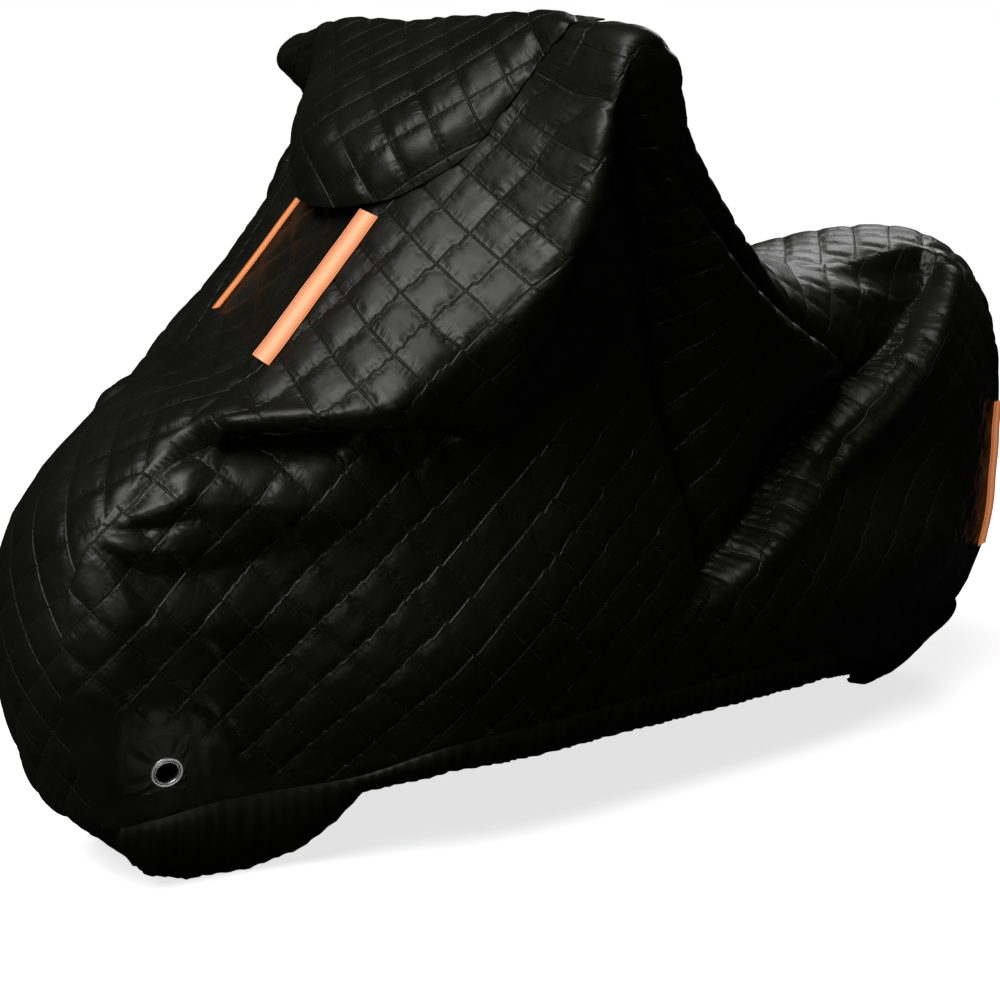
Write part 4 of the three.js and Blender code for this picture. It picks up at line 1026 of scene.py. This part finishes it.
def steel_material():
    nodes = Nodes("eyelet steel")
    scratches = nodes.noise(nodes.place, 420.0, 4.0)
    tone = nodes.mix(nodes.ramp(scratches, 0.35, 0.7), (0.86, 0.86, 0.87, 1.0), (0.94, 0.94, 0.95, 1.0))
    rough = nodes.ramp(scratches, 0.3, 0.7, 0.3, 0.42, "LINEAR")
    nodes.shade(Base_Color=tone, Metallic=1.0, Roughness=rough, Normal=nodes.bump(scratches, 0.00005, 0.3))
    return nodes.material


def floor_material():
    """A pale floor that the cloth mirrors only faintly, as in a studio with dark walls."""
    nodes = Nodes("pale floor")
    grain = nodes.noise(nodes.place, 3.0, 3.0)
    pale = nodes.mix(grain, (0.84, 0.84, 0.84, 1.0), (0.88, 0.88, 0.88, 1.0))
    seen = nodes.add("ShaderNodeLightPath").outputs["Is Camera Ray"]
    glow = nodes.math("MULTIPLY", seen, FLOOR_GLOW)
    nodes.shade(Base_Color=nodes.mix(seen, (0.02, 0.02, 0.02, 1.0), pale), Roughness=0.9,
                Specular_IOR_Level=0.0, Emission_Color=(1.0, 1.0, 1.0, 1.0), Emission_Strength=glow)
    return nodes.material


def finish_piece(obj, material, slot, *nodes):
    obj.data.materials.append(material)
    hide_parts(*nodes)
    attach(obj, "root")
    return obj


# Camera, floor and light
def aim(obj, at, target):
    obj.location = at
    obj.rotation_euler = (Vector(target) - Vector(at)).to_track_quat("-Z", "Y").to_euler()


def make_camera():
    data = bpy.data.cameras.new("camera")
    data.lens = CAMERA_LENS
    data.sensor_width = 36
    data.clip_end = 50
    camera = bpy.data.objects.new("camera", data)
    camera.location = metres(CAMERA_AT)
    heading, pitch = math.radians(CAMERA_AZIMUTH), math.radians(CAMERA_PITCH)
    level = math.cos(pitch)
    ahead = Vector((-math.sin(heading) * level, math.cos(heading) * level, -math.sin(pitch)))
    camera.rotation_euler = ahead.to_track_quat("-Z", "Y").to_euler()
    bpy.context.scene.collection.objects.link(camera)
    bpy.context.scene.camera = camera


# The lamps: where each stands, what it is aimed at, its size in metres and its watts
LIGHTS = [
    ("front left", (-3.0, -1.2, 3.0), (-0.3, 0.0, 0.8), 1.6, 46),
    ("low fill", (-2.3, -2.2, 0.8), (-0.8, 0.0, 0.3), 0.7, 3),
    ("glint on the eyelet", (-0.825, -0.29, 0.12), (-0.833, -0.149, 0.197), 0.06, 0.015),
    ("rear rim", (3.0, 1.6, 2.8), (0.4, 0.0, 0.7), 1.6, 25),
]
SUN = {"from": (-0.5, -0.12, 1.0), "spread": 40, "strength": 1.3}
FLOOR_GLOW = 0.75
ROOM = {"seen": (1.0, 1.0, 1.0, 1.0), "mirrored": (0.013, 0.013, 0.013, 1.0)}
FLOOR_SIZE = 30.0
FLOOR_DROP = 0.0005      # the floor lies just below the lowest point of the cloth


def add_light(name, kind, at, target, energy):
    data = bpy.data.lights.new(name, kind)
    data.energy = energy
    light = bpy.data.objects.new(name, data)
    aim(light, at, target)
    bpy.context.scene.collection.objects.link(light)
    return light


def make_lights():
    for name, at, target, size, watts in LIGHTS:
        light = add_light(name, "AREA", at, target, watts)
        light.visible_camera = False
        light.data.shape = "DISK"
        light.data.size = size
    sky = add_light("sky panel", "SUN", SUN["from"], (0, 0, 0), SUN["strength"])
    sky.data.angle = math.radians(SUN["spread"])


def make_room():
    """A dark room that the camera sees as white."""
    world = bpy.data.worlds.new("pale room")
    world.use_nodes = True
    bpy.context.scene.world = world
    tree = world.node_tree
    path = tree.nodes.new("ShaderNodeLightPath")
    mix = tree.nodes.new("ShaderNodeMix")
    mix.data_type = "RGBA"
    mix.inputs[6].default_value = ROOM["mirrored"]
    mix.inputs[7].default_value = ROOM["seen"]
    tree.links.new(path.outputs["Is Camera Ray"], mix.inputs[0])
    tree.links.new(mix.outputs[2], tree.nodes["Background"].inputs["Color"])
    bpy.context.scene.view_settings.view_transform = "Standard"


def make_floor():
    mesh = bpy.data.meshes.new("floor")
    corners = [(x * FLOOR_SIZE, y * FLOOR_SIZE, 0) for x, y in ((-1, -1), (1, -1), (1, 1), (-1, 1))]
    mesh.from_pydata(corners, [], [(0, 1, 2, 3)])
    floor = bpy.data.objects.new("floor", mesh)
    floor.location.z = -FLOOR_DROP
    floor.data.materials.append(floor_material())
    bpy.context.scene.collection.objects.link(floor)


make_camera()
make_lights()
make_room()
make_floor()

BLACK = (0.006, 0.0063, 0.0034, 1.0)
# The thread colour is lighter than the cloth to paint the highlight on the stitches.
THREAD_WITH_HIGHLIGHT = (0.022, 0.022, 0.02, 1.0)
quilted = cloth_material("quilted cloth", BLACK, THREAD_WITH_HIGHLIGHT, 0.38, True)
plain = cloth_material("band cloth", BLACK, THREAD_WITH_HIGHLIGHT, 0.42, False)

left = side_panel(-1, LEFT_FOLDS, 11)
right = side_panel(1, RIGHT_FOLDS, 23)
patches = {"left": eyelet_patch(left, -1), "right": eyelet_patch(right, 1)}
path = SeamPath(seam_nodes(left), seam_nodes(right))
centre = centre_panel(path, 37)
hood = hood_panel(41)
hems = [hem_nodes(left), centre.rear_hem, hem_nodes(right)[::-1], centre.front_hem[::-1]]
band = hem_band(np.concatenate(hems), 53)
join_seams([left, right, centre, hood, band, patches["left"][0], patches["right"][0]])

for name, sheet in (("side_panel_left", left), ("side_panel_right", right),
                    ("centre_panel", centre), ("hood_panel", hood)):
    finish_piece(sheet_object(name + "_cloth", sheet), quilted, "quilted_cloth", name)
finish_piece(sheet_object("hem_band_cloth", band), plain, "band_cloth", "hem_band")

steel = steel_material()
for side, (patch, middle, normal) in patches.items():
    name = f"eyelet_patch_{side}"
    finish_piece(sheet_object(name + "_cloth", patch), plain, "band_cloth", name)
    name = f"eyelet_ring_{side}"
    finish_piece(eyelet_ring(name + "_steel", middle, normal), steel, "eyelet_steel", name)

orange = strip_material()
under = {}
for side, panel in ((-1, left), (1, right)):
    points = np.concatenate([panel.outer, centre.outer])
    faces = np.concatenate([panel.faces, centre.faces + len(panel.outer)])
    under[side] = BVHTree.FromPolygons(points.tolist(), faces.tolist())
for row in STRIPS:
    name, side = row[:2]
    finish_piece(seam_strip(row, path, under[side]), orange, "reflective_strip", name)
